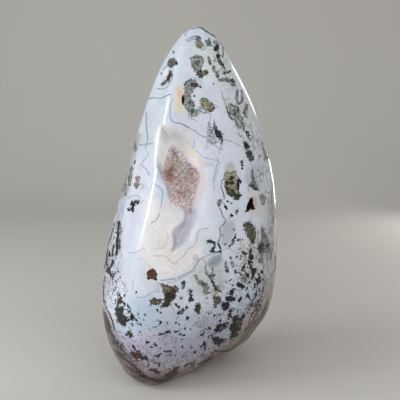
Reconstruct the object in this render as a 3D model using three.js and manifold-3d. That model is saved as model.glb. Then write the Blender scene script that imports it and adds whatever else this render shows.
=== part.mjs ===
// A polished freeform of ocean jasper: a tall egg of stone that stands on a small flat foot, with a druzy
// pocket in its front. Millimetres, +X to the right, +Y away from the viewer, +Z up; the origin is the
// centre of the foot.
import * as THREE from "three";
import { mergeVertices } from "three/addons/utils/BufferGeometryUtils.js";
import Module from "manifold-3d";

const { clamp, degToRad, lerp, smoothstep } = THREE.MathUtils;
const wasm = await Module();
wasm.setup();

// ---------- driving dimensions ----------
const HEIGHT = 220;
// Level sections from the foot to the tip: height, left, right, front and back edges, and skew, which is
// how far back each millimetre to the right of the section's middle is moved.
const SECTIONS = [
  { z: 0, left: -26, right: 22, front: -22.5, back: 22.5, skew: 0.68 },
  { z: 4, left: -32, right: 30.5, front: -27.5, back: 26.5, skew: 0.62 },
  { z: 12, left: -39, right: 46.5, front: -32.5, back: 31.5, skew: 0.44 },
  { z: 20, left: -44, right: 52, front: -36, back: 34.3, skew: 0.29 },
  { z: 34, left: -48.8, right: 58.6, front: -39, back: 36.5, skew: 0.14 },
  { z: 50, left: -50, right: 62.5, front: -40.5, back: 37.5, skew: 0.08 },
  { z: 85, left: -45.5, right: 64, front: -39.5, back: 36.5, skew: 0.02 },
  { z: 120, left: -35.5, right: 62, front: -35.5, back: 33.5, skew: 0 },
  { z: 150, left: -27, right: 55.5, front: -30.5, back: 29.5, skew: 0 },
  { z: 176, left: -18.5, right: 46, front: -24.5, back: 24.5, skew: 0 },
  { z: 196, left: -10, right: 35.5, front: -17.5, back: 17.5, skew: 0 },
  { z: 209, left: -2, right: 27.5, front: -11.5, back: 11.5, skew: 0 },
  { z: 216, left: 4, right: 21.5, front: -7.5, back: 6.5, skew: 0 },
  { z: HEIGHT, left: 12, right: 12, front: 0.5, back: 0.5, skew: 0 },
];
// The hand-ground faces that run up the stone: where each one looks, in degrees from the front towards
// the right, and how far out it lies in a section of half-width 1.
const FACES = [
  { look: 3, out: 0.96 },
  { look: 33, out: 1.03 },
  { look: 62, out: 0.98 },
  { look: 98, out: 1.07 },
  { look: 130, out: 1.02 },
  { look: 182, out: 1 },
  { look: -122, out: 1 },
  { look: -66, out: 0.95 },
];
// How sharp the ridges between the faces are, by height: round at the foot and tip, crisp beside the dish.
const RIDGES = { foot: 6, middle: 16, tip: 7, rise: [55, 115], fall: [178, 214] };

// The rim of the polished dish round the pocket: its place seen from the front, and how wide the wall
// inside it is there.
const DISH_RIM = [
  { x: -8.5, z: 163, wall: 7 },
  { x: -1, z: 161, wall: 8 },
  { x: 7, z: 158, wall: 9 },
  { x: 14, z: 153, wall: 11 },
  { x: 19.5, z: 146, wall: 15 },
  { x: 22.5, z: 134, wall: 18.5 },
  { x: 22, z: 121, wall: 17 },
  { x: 19.5, z: 110, wall: 14 },
  { x: 14.5, z: 100.5, wall: 10 },
  { x: 8, z: 93.5, wall: 7 },
  { x: 1, z: 89.5, wall: 4.5 },
  { x: -2.5, z: 88.5, wall: 3.5 },
  { x: -1.2, z: 94, wall: 3 },
  { x: -1.5, z: 100.5, wall: 3 },
  { x: 1.5, z: 103.5, wall: 3 },
  { x: 5.2, z: 106.8, wall: 3 },
  { x: 5.6, z: 111.5, wall: 3 },
  { x: 3, z: 115.5, wall: 3 },
  { x: -1, z: 118, wall: 3 },
  { x: -3.8, z: 121.5, wall: 3 },
  { x: -5.4, z: 127, wall: 3 },
  { x: -8, z: 132.5, wall: 3.5 },
  { x: -11.8, z: 138, wall: 6 },
  { x: -14.2, z: 144.5, wall: 9 },
  { x: -14, z: 151, wall: 9 },
  { x: -12.4, z: 157.5, wall: 8 },
];
// The dish's depth low down and high up, and the heights between which the one turns into the other. A
// wall narrower than soft's first value starts with a ridge, rounded over a share of the wall, and one
// wider than its second fades out.
const DISH = { low: 3, high: 6.5, rise: [92, 122], soft: [3, 13], rounding: 0.35 };
// The edge of the druzy pocket, as seen from the front.
const POCKET_EDGE = [
  [-3.6, 149.3],
  [2.3, 147.5],
  [6.3, 141.6],
  [12.2, 137],
  [14.6, 133],
  [13.4, 127],
  [11.6, 121],
  [9, 115],
  [9.8, 110.8],
  [7.6, 110.2],
  [4.4, 114.2],
  [-0.7, 116],
  [-3.1, 119],
  [-3.7, 124.2],
  [-6, 128.9],
  [-7.7, 133],
  [-6.5, 141.7],
];
// The pocket's floor, below the dish: deepest on the left, rising to the right.
const POCKET = { leftX: -8, rightX: 13, leftDepth: 8, rightDepth: 2.5, leftWall: 3.8, rightWall: 7 };
// The crust of quartz points that lines the pocket: how thick it is, how wide a cell and how tall a point
// is, how far a cell's corners stray from an even grid, and the gap between the crust and the stone.
const CRUST = { thickness: 1.5, cell: 2, point: 0.9, stray: 0.5, gap: 0.35 };
// Three small open pits, cut as balls: where each one is centred, its radii, and how far it is sunk.
const PITS = [
  { x: 43.6, z: 115, radii: [2.6, 5.5, 3.4], sunk: 0.4 },
  { x: -14.2, z: 75.8, radii: [3, 2.2, 3.1], sunk: 0.3 },
  { x: 4.1, z: 176.4, radii: [0.8, 1.8, 3.2], sunk: 0.2 },
];
const PIT_DETAIL = 2;
// Where the column that cuts the pocket out starts and ends, from front to back.
const COLUMN = { front: -60, back: 20 };
// Mesh counts: columns round the stone and rows up it, and how much closer they stand near the middle of
// the dish and near the foot, within what angle and what heights.
const MESH = { columns: 78, rows: 45, closer: 2.6, x: 2, z: 124, angle: 0.42, height: 34, foot: 7 };

// ---------- the stone's body ----------
// A smooth curve through values at rising knots (a natural cubic spline).
function spline(knots, values) {
  const last = knots.length - 1;
  const gap = (i) => knots[i + 1] - knots[i];
  const slope = (i) => (values[i + 1] - values[i]) / gap(i);
  const bend = new Array(last + 1).fill(0);
  const share = new Array(last + 1).fill(0);
  for (let i = 1; i < last; i += 1) {
    const pivot = 2 * (gap(i - 1) + gap(i)) - gap(i - 1) * share[i - 1];
    share[i] = gap(i) / pivot;
    bend[i] = (6 * (slope(i) - slope(i - 1)) - gap(i - 1) * bend[i - 1]) / pivot;
  }
  for (let i = last - 1; i > 0; i -= 1) bend[i] -= share[i] * bend[i + 1];
  return (t) => {
    let i = 0;
    while (i < last - 1 && t > knots[i + 1]) i += 1;
    const [before, after, h] = [t - knots[i], knots[i + 1] - t, gap(i)];
    const cubic = (bend[i] * after ** 3 + bend[i + 1] * before ** 3) / (6 * h);
    const low = (values[i] / h - (bend[i] * h) / 6) * after;
    const high = (values[i + 1] / h - (bend[i + 1] * h) / 6) * before;
    return cubic + low + high;
  };
}

// Heights are measured as a fall from the tip, 0 at the tip and 1 at the foot, so that the tip is round.
const heightAt = (fall) => HEIGHT * (1 - fall * fall);
const fallAt = (z) => Math.sqrt(clamp(1 - z / HEIGHT, 0, 1));
const falling = [...SECTIONS].reverse();
const knots = falling.map((section) => fallAt(section.z));
const edge = {};
for (const side of ["left", "right", "front", "back", "skew"]) {
  edge[side] = spline(knots, falling.map((section) => section[side]));
}

function ridgeSharpness(z) {
  const { foot, middle, tip, rise, fall } = RIDGES;
  return lerp(lerp(foot, middle, smoothstep(z, ...rise)), tip, smoothstep(z, ...fall));
}

// A point on the edge of the section of half-width 1, by its angle from the front.
function roundedFaces(angle, sharpness) {
  const pull = FACES.map(({ look, out }) => Math.max(0, Math.cos(angle - degToRad(look)) / out));
  const radius = pull.reduce((sum, value) => sum + value ** sharpness, 0) ** (-1 / sharpness);
  return new THREE.Vector2(radius * Math.sin(angle), -radius * Math.cos(angle));
}

// The box that holds that section at each millimetre of height, so that a real section fills its own
// edges exactly.
const TURNS = 360;
const turns = [...Array(TURNS).keys()].map((i) => (2 * Math.PI * i) / TURNS);
const boxes = [...Array(HEIGHT + 1).keys()].map((z) =>
  new THREE.Box2().setFromPoints(turns.map((angle) => roundedFaces(angle, ridgeSharpness(z)))),
);

function sectionBox(z) {
  const below = Math.min(Math.floor(z), HEIGHT - 1);
  const box = boxes[below].clone();
  box.min.lerp(boxes[below + 1].min, z - below);
  box.max.lerp(boxes[below + 1].max, z - below);
  return box;
}

function bodyPoint(fall, angle) {
  const { x, y } = roundedFaces(angle, ridgeSharpness(heightAt(fall)));
  const { min, max } = sectionBox(heightAt(fall));
  const across = lerp(edge.left(fall), edge.right(fall), (x - min.x) / (max.x - min.x));
  const middle = (edge.left(fall) + edge.right(fall)) / 2;
  const along = lerp(edge.front(fall), edge.back(fall), (y - min.y) / (max.y - min.y));
  return new THREE.Vector3(across, along + edge.skew(fall) * (across - middle), heightAt(fall));
}

// The body's front surface at a place seen from the front, by halving the range of angles.
const HALVINGS = 30;
function frontY(x, z) {
  const fall = fallAt(z);
  let [low, high] = [-Math.PI / 2, Math.PI / 2];
  for (let i = 0; i < HALVINGS; i += 1) {
    const angle = (low + high) / 2;
    if (bodyPoint(fall, angle).x < x) low = angle;
    else high = angle;
  }
  return bodyPoint(fall, low).y;
}

// ---------- the dish and its pocket ----------
// The points of a closed smooth curve, with stepsEach steps from each given point to the next.
function closedCurve(points, stepsEach) {
  const curve = new THREE.CatmullRomCurve3(points, true, "catmullrom");
  return curve.getPoints(points.length * stepsEach).slice(0, -1);
}
const pocketEdge = closedCurve(POCKET_EDGE.map(([x, z]) => new THREE.Vector3(x, 0, z)), 4);
// The rim's points carry the width of the wall as their y.
const dishEdge = closedCurve(DISH_RIM.map(({ x, z, wall }) => new THREE.Vector3(x, wall, z)), 3);

// The stretches of a closed curve, as seen from a place: the two ends of each, how far along it and how
// far from it the place is, and whether it crosses the level line that runs right from the place.
function stretches(x, z, curve) {
  return curve.map((a, i) => {
    const b = curve[(i + 1) % curve.length];
    const [dx, dz] = [b.x - a.x, b.z - a.z];
    const along = clamp(((x - a.x) * dx + (z - a.z) * dz) / (dx * dx + dz * dz), 0, 1);
    const away = Math.hypot(x - a.x - along * dx, z - a.z - along * dz);
    const crosses = a.z > z !== b.z > z && x < a.x + ((z - a.z) / dz) * dx;
    return { a, b, along, away, crosses };
  });
}
const isInside = (parts) => parts.filter(({ crosses }) => crosses).length % 2 === 1;

const roundedStart = (share) => Math.hypot(share, DISH.rounding) - DISH.rounding;

// How much of the dish's depth a wall of this width has reached, at a distance from the rim.
function wallShare(away, wall) {
  const reach = Math.min(1, roundedStart(away / wall) / roundedStart(1));
  return lerp(reach * (2 - reach), smoothstep(reach, 0, 1), smoothstep(wall, ...DISH.soft));
}

function dishDepth(x, z) {
  const rim = stretches(x, z, dishEdge);
  if (!isInside(rim)) return 0;
  const shares = rim.map(({ a, b, along, away }) => wallShare(away, lerp(a.y, b.y, along)));
  return lerp(DISH.low, DISH.high, smoothstep(z, ...DISH.rise)) * Math.min(...shares);
}

function pocketDepth(x, z) {
  const sides = stretches(x, z, pocketEdge);
  if (!isInside(sides)) return 0;
  const inside = Math.min(...sides.map(({ away }) => away));
  const rightward = smoothstep(x, POCKET.leftX, POCKET.rightX);
  const wall = lerp(POCKET.leftWall, POCKET.rightWall, rightward);
  return lerp(POCKET.leftDepth, POCKET.rightDepth, rightward) * smoothstep(inside, 0, wall);
}
const hollowDepth = (x, z) => dishDepth(x, z) + pocketDepth(x, z);

// ---------- meshes and solids ----------
// A geometry from points and triangles, with its faces facing out.
function geometryOf(points, triangles) {
  const geometry = new THREE.BufferGeometry().setFromPoints(points);
  geometry.setIndex(triangles);
  geometry.computeVertexNormals();
  return geometry;
}

function solidOf(geometry) {
  const bare = geometry.clone();
  bare.deleteAttribute("normal");
  bare.deleteAttribute("uv");
  const merged = mergeVertices(bare, 1e-4);
  const vertProperties = Float32Array.from(merged.attributes.position.array);
  const triVerts = Uint32Array.from(merged.index.array);
  return new wasm.Manifold(new wasm.Mesh({ numProp: 3, vertProperties, triVerts }));
}

function geometryOfSolid(solid) {
  const { vertProperties, triVerts } = solid.getMesh();
  const geometry = new THREE.BufferGeometry();
  geometry.setAttribute("position", new THREE.BufferAttribute(vertProperties, 3));
  geometry.setIndex(new THREE.BufferAttribute(triVerts, 1));
  geometry.computeVertexNormals();
  return geometry;
}

// Values from low to high that stand closer together where crowd is large.
const SAMPLES = 2000;
function spread(count, low, high, crowd) {
  const sums = [0];
  for (let i = 0; i < SAMPLES; i += 1) {
    sums.push(sums[i] + crowd(lerp(low, high, (i + 0.5) / SAMPLES)));
  }
  let at = 0;
  return [...Array(count + 1).keys()].map((k) => {
    const wanted = (sums[SAMPLES] * k) / count;
    while (at < SAMPLES - 1 && sums[at + 1] < wanted) at += 1;
    return lerp(low, high, (at + (wanted - sums[at]) / (sums[at + 1] - sums[at])) / SAMPLES);
  });
}

// Joins rings of equal length into faces, from the first ring to the last.
function ringFaces(rings, columns, first) {
  const faces = [];
  for (let row = 0; row < rings - 1; row += 1) {
    for (let column = 0; column < columns; column += 1) {
      const a = first + row * columns + column;
      const b = first + row * columns + ((column + 1) % columns);
      faces.push(a, a + columns, b, b, a + columns, b + columns);
    }
  }
  return faces;
}

// How close the rows stand at the tip: 0 would space them evenly up the height and leave the tip bare.
const TIP_SHARE = 0.3;

function stoneSolid() {
  const { columns, rows, closer, foot: footHeight } = MESH;
  const bell = (offset) => closer * Math.exp(-offset * offset);
  const dishFall = fallAt(MESH.z);
  const dishOffset = MESH.x - (edge.left(dishFall) + edge.right(dishFall)) / 2;
  const dishLook = Math.atan2(dishOffset, -edge.front(dishFall));
  const crowdAngle = (angle) => 1 + bell((angle - dishLook) / MESH.angle);
  const crowdFall = (fall) => {
    const z = heightAt(fall);
    return (TIP_SHARE + fall) * (1 + bell((z - MESH.z) / MESH.height) + bell(z / footHeight));
  };
  const angles = spread(columns, -Math.PI, Math.PI, crowdAngle).slice(0, -1);
  const falls = spread(rows, 0, 1, crowdFall).slice(1);
  const points = [new THREE.Vector3(edge.left(0), edge.front(0), HEIGHT)];
  for (const fall of falls) {
    for (const angle of angles) {
      const point = bodyPoint(fall, angle);
      if (Math.abs(angle) < Math.PI / 2) point.y += hollowDepth(point.x, point.z);
      points.push(point);
    }
  }
  points.push(new THREE.Vector3(0, 0, 0));
  const [tip, foot] = [0, points.length - 1];
  const lastRing = foot - columns;
  const triangles = ringFaces(falls.length, columns, 1);
  for (let column = 0; column < columns; column += 1) {
    const next = (column + 1) % columns;
    triangles.push(tip, 1 + column, 1 + next, foot, lastRing + next, lastRing + column);
  }
  return solidOf(geometryOf(points, triangles));
}

function pitSolid({ x, z, radii, sunk }) {
  const ball = new THREE.IcosahedronGeometry(1, PIT_DETAIL);
  ball.scale(...radii);
  ball.translate(x, frontY(x, z) + sunk, z);
  return solidOf(ball);
}

// A repeatable value from 0 to 1 for a place in the crust's grid.
const HASH = { across: 127.1, up: 311.7, stretch: 43758.5453 };
const scatter = (i, j) => {
  const value = Math.sin(i * HASH.across + j * HASH.up) * HASH.stretch;
  return value - Math.floor(value);
};

// A block over the pocket, from frontDepth to backDepth behind the hollow's surface. Each cell of its
// front rises to a low point, about peak high.
function pocketBlock({ frontDepth, backDepth, peak }) {
  const { cell, stray } = CRUST;
  const box = new THREE.Box3().setFromPoints(pocketEdge).expandByScalar(cell);
  const across = Math.ceil((box.max.x - box.min.x) / cell);
  const up = Math.ceil((box.max.z - box.min.z) / cell);
  const spot = (i, j, depth) => {
    const x = box.min.x + (i + stray * (scatter(i, j) - 0.5)) * cell;
    const z = box.min.z + (j + stray * (scatter(j, i) - 0.5)) * cell;
    return new THREE.Vector3(x, frontY(x, z) + hollowDepth(x, z) + depth, z);
  };
  const points = [];
  const triangles = [];
  const add = (vertex) => points.push(vertex) - 1;
  const front = [];
  const back = [];
  for (let j = 0; j <= up; j += 1) {
    for (let i = 0; i <= across; i += 1) {
      front.push(add(spot(i, j, frontDepth)));
      back.push(add(spot(i, j, backDepth)));
    }
  }
  const at = (i, j) => j * (across + 1) + i;
  for (let j = 0; j < up; j += 1) {
    for (let i = 0; i < across; i += 1) {
      const corners = [at(i, j), at(i + 1, j), at(i + 1, j + 1), at(i, j + 1)];
      const rise = peak * (0.5 + scatter(i + across, j));
      const top = add(spot(i + 0.5, j + 0.5, frontDepth - rise));
      corners.forEach((corner, k) => {
        triangles.push(front[corner], front[corners[(k + 1) % 4]], top);
      });
      const [a, b, c, d] = corners.map((corner) => back[corner]);
      triangles.push(a, c, b, a, d, c);
    }
  }
  const wall = (p, q) => {
    triangles.push(front[p], back[p], front[q], front[q], back[p], back[q]);
  };
  for (let i = 0; i < across; i += 1) {
    wall(at(i, 0), at(i + 1, 0));
    wall(at(i + 1, up), at(i, up));
  }
  for (let j = 0; j < up; j += 1) {
    wall(at(across, j), at(across, j + 1));
    wall(at(0, j + 1), at(0, j));
  }
  return solidOf(geometryOf(points, triangles));
}

// A column from front to back through the pocket's edge, drawn in from the edge by inset.
function pocketColumn(inset) {
  const outline = pocketEdge.map((point, i) => {
    const before = pocketEdge.at(i - 1);
    const after = pocketEdge[(i + 1) % pocketEdge.length];
    const inward = new THREE.Vector2(before.z - after.z, after.x - before.x).normalize();
    return new THREE.Vector2(point.x, point.z).addScaledVector(inward, -inset);
  });
  const { front, back } = COLUMN;
  const settings = { depth: back - front, bevelEnabled: false };
  const column = new THREE.ExtrudeGeometry(new THREE.Shape(outline), settings);
  column.rotateX(Math.PI / 2);
  column.translate(0, back, 0);
  return solidOf(column);
}

const { thickness, point, gap } = CRUST;
const seat = pocketBlock({ frontDepth: COLUMN.front, backDepth: thickness, peak: 0 });
const fill = pocketBlock({ frontDepth: 0, backDepth: thickness - gap, peak: point });
const crust = fill.intersect(pocketColumn(gap));
const hollowed = stoneSolid().subtract(seat.intersect(pocketColumn(0)));
const stone = PITS.reduce((body, pit) => body.subtract(pitSolid(pit)), hollowed);

// ---------- the finished part ----------
function piece(name, solid, colour, roughness) {
  const material = new THREE.MeshStandardMaterial({ color: colour, roughness, metalness: 0 });
  const mesh = new THREE.Mesh(geometryOfSolid(solid), material);
  mesh.name = name;
  return mesh;
}

const jasper = new THREE.Group();
jasper.add(piece("stone", stone, 0xdadde3, 0.15));
jasper.add(piece("druzy_crust", crust, 0xb79a90, 0.4));
export default jasper;
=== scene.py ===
"""A tall polished freeform of ocean jasper with a druzy pocket, on a pale floor in soft light.

The stone is rebuilt finely from the same sections as the CAD part and carved. Its washes of colour, moss,
specks and veins are laid on it as fields that the material reads. Sizes are in millimetres, in the CAD
part's own frame; MM turns them into Blender's metres where a mesh is made.
"""

import math

import bpy
import numpy as np
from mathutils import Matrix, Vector, noise


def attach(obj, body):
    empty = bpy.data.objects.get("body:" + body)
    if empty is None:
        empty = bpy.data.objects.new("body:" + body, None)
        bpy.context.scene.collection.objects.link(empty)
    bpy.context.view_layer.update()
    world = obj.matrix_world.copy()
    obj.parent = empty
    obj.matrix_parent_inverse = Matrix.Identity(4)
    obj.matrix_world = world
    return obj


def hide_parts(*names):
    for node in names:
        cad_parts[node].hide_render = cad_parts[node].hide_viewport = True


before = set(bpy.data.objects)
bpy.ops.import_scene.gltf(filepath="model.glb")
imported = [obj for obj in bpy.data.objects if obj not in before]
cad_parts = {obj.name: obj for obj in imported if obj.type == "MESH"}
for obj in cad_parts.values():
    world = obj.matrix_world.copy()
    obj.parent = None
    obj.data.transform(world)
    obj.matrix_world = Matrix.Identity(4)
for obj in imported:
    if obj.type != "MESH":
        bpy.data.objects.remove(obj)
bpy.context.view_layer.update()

MM = 0.001
SEED = 5991

# ---------- the stone's form, as in the CAD part ----------
HEIGHT = 220
# Level sections: height, left, right, front and back edges, and skew.
SECTIONS = [
    (0, -26, 22, -22.5, 22.5, 0.68),
    (4, -32, 30.5, -27.5, 26.5, 0.62),
    (12, -39, 46.5, -32.5, 31.5, 0.44),
    (20, -44, 52, -36, 34.3, 0.29),
    (34, -48.8, 58.6, -39, 36.5, 0.14),
    (50, -50, 62.5, -40.5, 37.5, 0.08),
    (85, -45.5, 64, -39.5, 36.5, 0.02),
    (120, -35.5, 62, -35.5, 33.5, 0),
    (150, -27, 55.5, -30.5, 29.5, 0),
    (176, -18.5, 46, -24.5, 24.5, 0),
    (196, -10, 35.5, -17.5, 17.5, 0),
    (209, -2, 27.5, -11.5, 11.5, 0),
    (216, 4, 21.5, -7.5, 6.5, 0),
    (HEIGHT, 12, 12, 0.5, 0.5, 0),
]
# The hand-ground faces: where each looks, in degrees from the front towards the right, and how far out.
FACES = [
    (3, 0.96),
    (33, 1.03),
    (62, 0.98),
    (98, 1.07),
    (130, 1.02),
    (182, 1),
    (-122, 1),
    (-66, 0.95),
]
# How sharp the ridges between the faces are, by height.
RIDGE_FOOT, RIDGE_MIDDLE, RIDGE_TIP = 6, 16, 7
RIDGE_RISE, RIDGE_FALL = (55, 115), (178, 214)

# The rim of the polished dish: its place seen from the front, and how wide the wall inside it is.
DISH_RIM = [
    (-8.5, 163, 7),
    (-1, 161, 8),
    (7, 158, 9),
    (14, 153, 11),
    (19.5, 146, 15),
    (22.5, 134, 18.5),
    (22, 121, 17),
    (19.5, 110, 14),
    (14.5, 100.5, 10),
    (8, 93.5, 7),
    (1, 89.5, 4.5),
    (-2.5, 88.5, 3.5),
    (-1.2, 94, 3),
    (-1.5, 100.5, 3),
    (1.5, 103.5, 3),
    (5.2, 106.8, 3),
    (5.6, 111.5, 3),
    (3, 115.5, 3),
    (-1, 118, 3),
    (-3.8, 121.5, 3),
    (-5.4, 127, 3),
    (-8, 132.5, 3.5),
    (-11.8, 138, 6),
    (-14.2, 144.5, 9),
    (-14, 151, 9),
    (-12.4, 157.5, 8),
]
# The dish's depth low down and high up, and the heights between which the one turns into the other.
DISH_DEPTHS = (3, 6.5)
DISH_RISE = (92, 122)
# A wall narrower than the first starts with a ridge, rounded over a share of the wall, and one wider than
# the second fades out.
DISH_SOFT = (3, 13)
DISH_ROUNDING = 0.35

# The edge, depths and walls of the druzy pocket in the dish, on its left and on its right.
POCKET_EDGE = [
    (-3.6, 149.3),
    (2.3, 147.5),
    (6.3, 141.6),
    (12.2, 137),
    (14.6, 133),
    (13.4, 127),
    (11.6, 121),
    (9, 115),
    (9.8, 110.8),
    (7.6, 110.2),
    (4.4, 114.2),
    (-0.7, 116),
    (-3.1, 119),
    (-3.7, 124.2),
    (-6, 128.9),
    (-7.7, 133),
    (-6.5, 141.7),
]
POCKET_SIDES = (-8, 13)
POCKET_DEPTHS = (8, 2.5)
POCKET_WALLS = (3.8, 7)

# Three small open pits: place seen from the front, radii, how far the centre is sunk, their lining and
# where their corners point, in degrees from the right upwards.
PITS = [
    ((43.6, 115), (2.6, 5.5, 3.4), 0.4, "bark", (62, -35, -127)),
    ((-14.2, 75.8), (3, 2.2, 3.1), 0.3, "rust", ()),
    ((4.1, 176.4), (0.8, 1.8, 3.2), 0.2, "wine", ()),
]

# ---------- the camera, which the marks on the front are placed through ----------
PHOTO_SIDE = 400
FOCAL_PIXELS = 600
CAMERA = np.array([14, -378.5, 184.4])
CAMERA_DIP = math.radians(10.76)
CAMERA_RIGHT = np.array([1, 0, 0])
CAMERA_AHEAD = np.array([0, math.cos(CAMERA_DIP), -math.sin(CAMERA_DIP)])
CAMERA_UP = np.array([0, math.sin(CAMERA_DIP), math.cos(CAMERA_DIP)])
# One pixel of the photograph on the front of the stone, in millimetres.
PIXEL = 0.585

# ---------- colours, as they look in even light; some stand for painted shade or a painted highlight ---
COLOURS = {
    "milk": 0xCFD5DF,
    "frost": 0xC5CED7,
    "lavender": 0xCDD0DC,
    "cream": 0xE8E3E3,
    "butter": 0xEAE4E0,
    "sky": 0xB8C6D6,
    "lilac": 0xB9ADC2,
    "dusk": 0x9F9DAE,
    "fog": 0xBFC2C6,
    "ash": 0xA3A5A4,
    "sand": 0xCFCDCB,
    "blush": 0xD0C4CC,
    "lemon": 0xD3CDA2,
    "painted_highlight": 0xDADBE9,
    "painted_shade_grey": 0xA59EA8,
    "quartz": 0xC6C3CA,
    "aqua": 0xB6CCD4,
    "apricot": 0xDCCDB8,
    "amber": 0xD8B88E,
    "straw": 0xDAD0AE,
    "clay": 0xCDBFB5,
    "sage": 0xC3C8C7,
    "chalk": 0xE6E2E1,
    "ink": 0x101213,
    "coal": 0x161A21,
    "umber": 0x1E1714,
    "slate": 0x353E3E,
    "forest": 0x2C342D,
    "olive": 0x5C5A45,
    "moss": 0x3A3829,
    "khaki": 0x939277,
    "beige": 0x9C947E,
    "brown": 0x5C5145,
    "grey": 0x7B807F,
    "pale": 0x989B98,
    "haze": 0xB4B8C3,
    "steel": 0x8C93A0,
    "wine": 0x40262A,
    "rust": 0x6E5145,
    "rose": 0xA98B81,
    "mauve": 0x6B6E84,
    "loam": 0x7B685D,
    "taupe": 0x9E8F88,
    "tan": 0xB7A792,
    "mint": 0xD2D9D3,
    "plum": 0x75646A,
    "petal": 0xDACAC6,
    "russet": 0xA5847A,
    "bark": 0x4E382F,
    "painted_rim_shade": 0x9A98AC,
}


def linear(name):
    """A named colour as linear red, green and blue, by the sRGB standard's curve."""
    shares = np.array([COLOURS[name] >> 16, COLOURS[name] >> 8 & 255, COLOURS[name] & 255]) / 255
    return np.where(shares <= 0.04045, shares / 12.92, ((shares + 0.055) / 1.055) ** 2.4)


# ---------- small helpers ----------
def smooth(value, low, high):
    """0 at low, 1 at high, level at both ends."""
    share = np.clip((np.asarray(value, float) - low) / (high - low), 0, 1)
    return share * share * (3 - 2 * share)


def mixed(ends, share):
    """The first end where share is 0, the second where it is 1."""
    return ends[0] + (ends[1] - ends[0]) * share


def blended(under, over, share):
    """Rows of colour turned into another colour by a share for each row."""
    share = share[:, None]
    return under * (1 - share) + over * share


def bell(offset):
    """1 at no offset, and nearly 0 at 2 on either side."""
    return np.exp(-offset * offset)


def spline(knots, values):
    """A smooth curve through values at rising knots (a natural cubic spline)."""
    last = len(knots) - 1
    gaps = np.diff(knots)
    slopes = np.diff(values) / gaps
    system = np.eye(last + 1)
    wanted = np.zeros(last + 1)
    for i in range(1, last):
        system[i, i - 1 : i + 2] = gaps[i - 1], 2 * (gaps[i - 1] + gaps[i]), gaps[i]
        wanted[i] = 6 * (slopes[i] - slopes[i - 1])
    bends = np.linalg.solve(system, wanted)

    def curve(t):
        t = np.asarray(t, float)
        i = np.clip(np.searchsorted(knots, t) - 1, 0, last - 1)
        before, after, gap = t - knots[i], knots[i + 1] - t, gaps[i]
        cubic = (bends[i] * after**3 + bends[i + 1] * before**3) / (6 * gap)
        low = (values[i] / gap - bends[i] * gap / 6) * after
        high = (values[i + 1] / gap - bends[i + 1] * gap / 6) * before
        return cubic + low + high

    return curve


def traced(text):
    """The points of an outline or line that is written as in an SVG polygon: x,y pairs."""
    return np.array([pair.split(",") for pair in text.split()], float)


def catmull_rom(points, steps, closed=False):
    """A smooth curve through points, with steps pieces to each stretch."""
    points = np.asarray(points, float)
    count = len(points)
    curve = []
    for i in range(count if closed else count - 1):
        picks = [i - 1, i, i + 1, i + 2]
        picks = [k % count if closed else min(max(k, 0), count - 1) for k in picks]
        a, b, c, d = points[picks]
        for t in np.arange(steps) / steps:
            bend = (2 * a - 5 * b + 4 * c - d) * t**2 + (3 * b - a - 3 * c + d) * t**3
            curve.append(0.5 * (2 * b + (c - a) * t + bend))
    if not closed:
        curve.append(points[-1])
    return np.array(curve)


def from_segment(x, y, a, b):
    """How far along a segment places are, from 0 to 1 between its ends, and how far from it."""
    dx, dy = b[0] - a[0], b[1] - a[1]
    along = ((x - a[0]) * dx + (y - a[1]) * dy) / (dx * dx + dy * dy)
    held = np.clip(along, 0, 1)
    return along, np.hypot(x - a[0] - held * dx, y - a[1] - held * dy)


def inside_outline(x, y, outline):
    """How far places are inside a closed outline; negative outside it."""
    nearest = np.full(np.shape(x), np.inf)
    inside = np.zeros(np.shape(x), bool)
    for a, b in zip(outline, np.roll(outline, -1, axis=0)):
        nearest = np.minimum(nearest, from_segment(x, y, a, b)[1])
        if a[1] != b[1]:
            crossing = a[0] + (y - a[1]) / (b[1] - a[1]) * (b[0] - a[0])
            inside ^= ((a[1] > y) != (b[1] > y)) & (x < crossing)
    return np.where(inside, nearest, -nearest)


# ---------- the stone's surface ----------
def height_at(fall):
    return HEIGHT * (1 - fall * fall)


def fall_at(z):
    return np.sqrt(np.clip(1 - np.asarray(z, float) / HEIGHT, 0, 1))


falling = np.array(SECTIONS, float)[::-1]
LEFT, RIGHT, FRONT, BACK, SKEW = (spline(fall_at(falling[:, 0]), falling[:, k]) for k in range(1, 6))


def ridge_sharpness(z):
    upward = mixed((RIDGE_FOOT, RIDGE_MIDDLE), smooth(z, *RIDGE_RISE))
    return mixed((upward, RIDGE_TIP), smooth(z, *RIDGE_FALL))


def rounded_faces(angle, sharpness):
    """The edge of the section of half-width 1, by its angle from the front."""
    pull = sum(np.maximum(0, np.cos(angle - math.radians(look)) / out) ** sharpness for look, out in FACES)
    radius = pull ** (-1 / sharpness)
    return radius * np.sin(angle), -radius * np.cos(angle)


# The box that holds that section at each millimetre of height.
TURNS = 360
LEVELS = np.arange(HEIGHT + 1)
around = rounded_faces(np.arange(TURNS) * 2 * np.pi / TURNS, ridge_sharpness(LEVELS)[:, None])
BOX_LOWS = [side.min(axis=1) for side in around]
BOX_HIGHS = [side.max(axis=1) for side in around]


def body_points(fall, angle):
    """Points on the uncarved stone, for arrays of falls and angles."""
    z = height_at(fall)
    shares = []
    for side, low, high in zip(rounded_faces(angle, ridge_sharpness(z)), BOX_LOWS, BOX_HIGHS):
        low, high = np.interp(z, LEVELS, low), np.interp(z, LEVELS, high)
        shares.append((side - low) / (high - low))
    across = mixed((LEFT(fall), RIGHT(fall)), shares[0])
    along = mixed((FRONT(fall), BACK(fall)), shares[1])
    along = along + SKEW(fall) * (across - (LEFT(fall) + RIGHT(fall)) / 2)
    return np.stack(np.broadcast_arrays(across, along, z), axis=-1)


# How often the range of angles is halved where the front surface is looked for.
HALVINGS = 30


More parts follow.
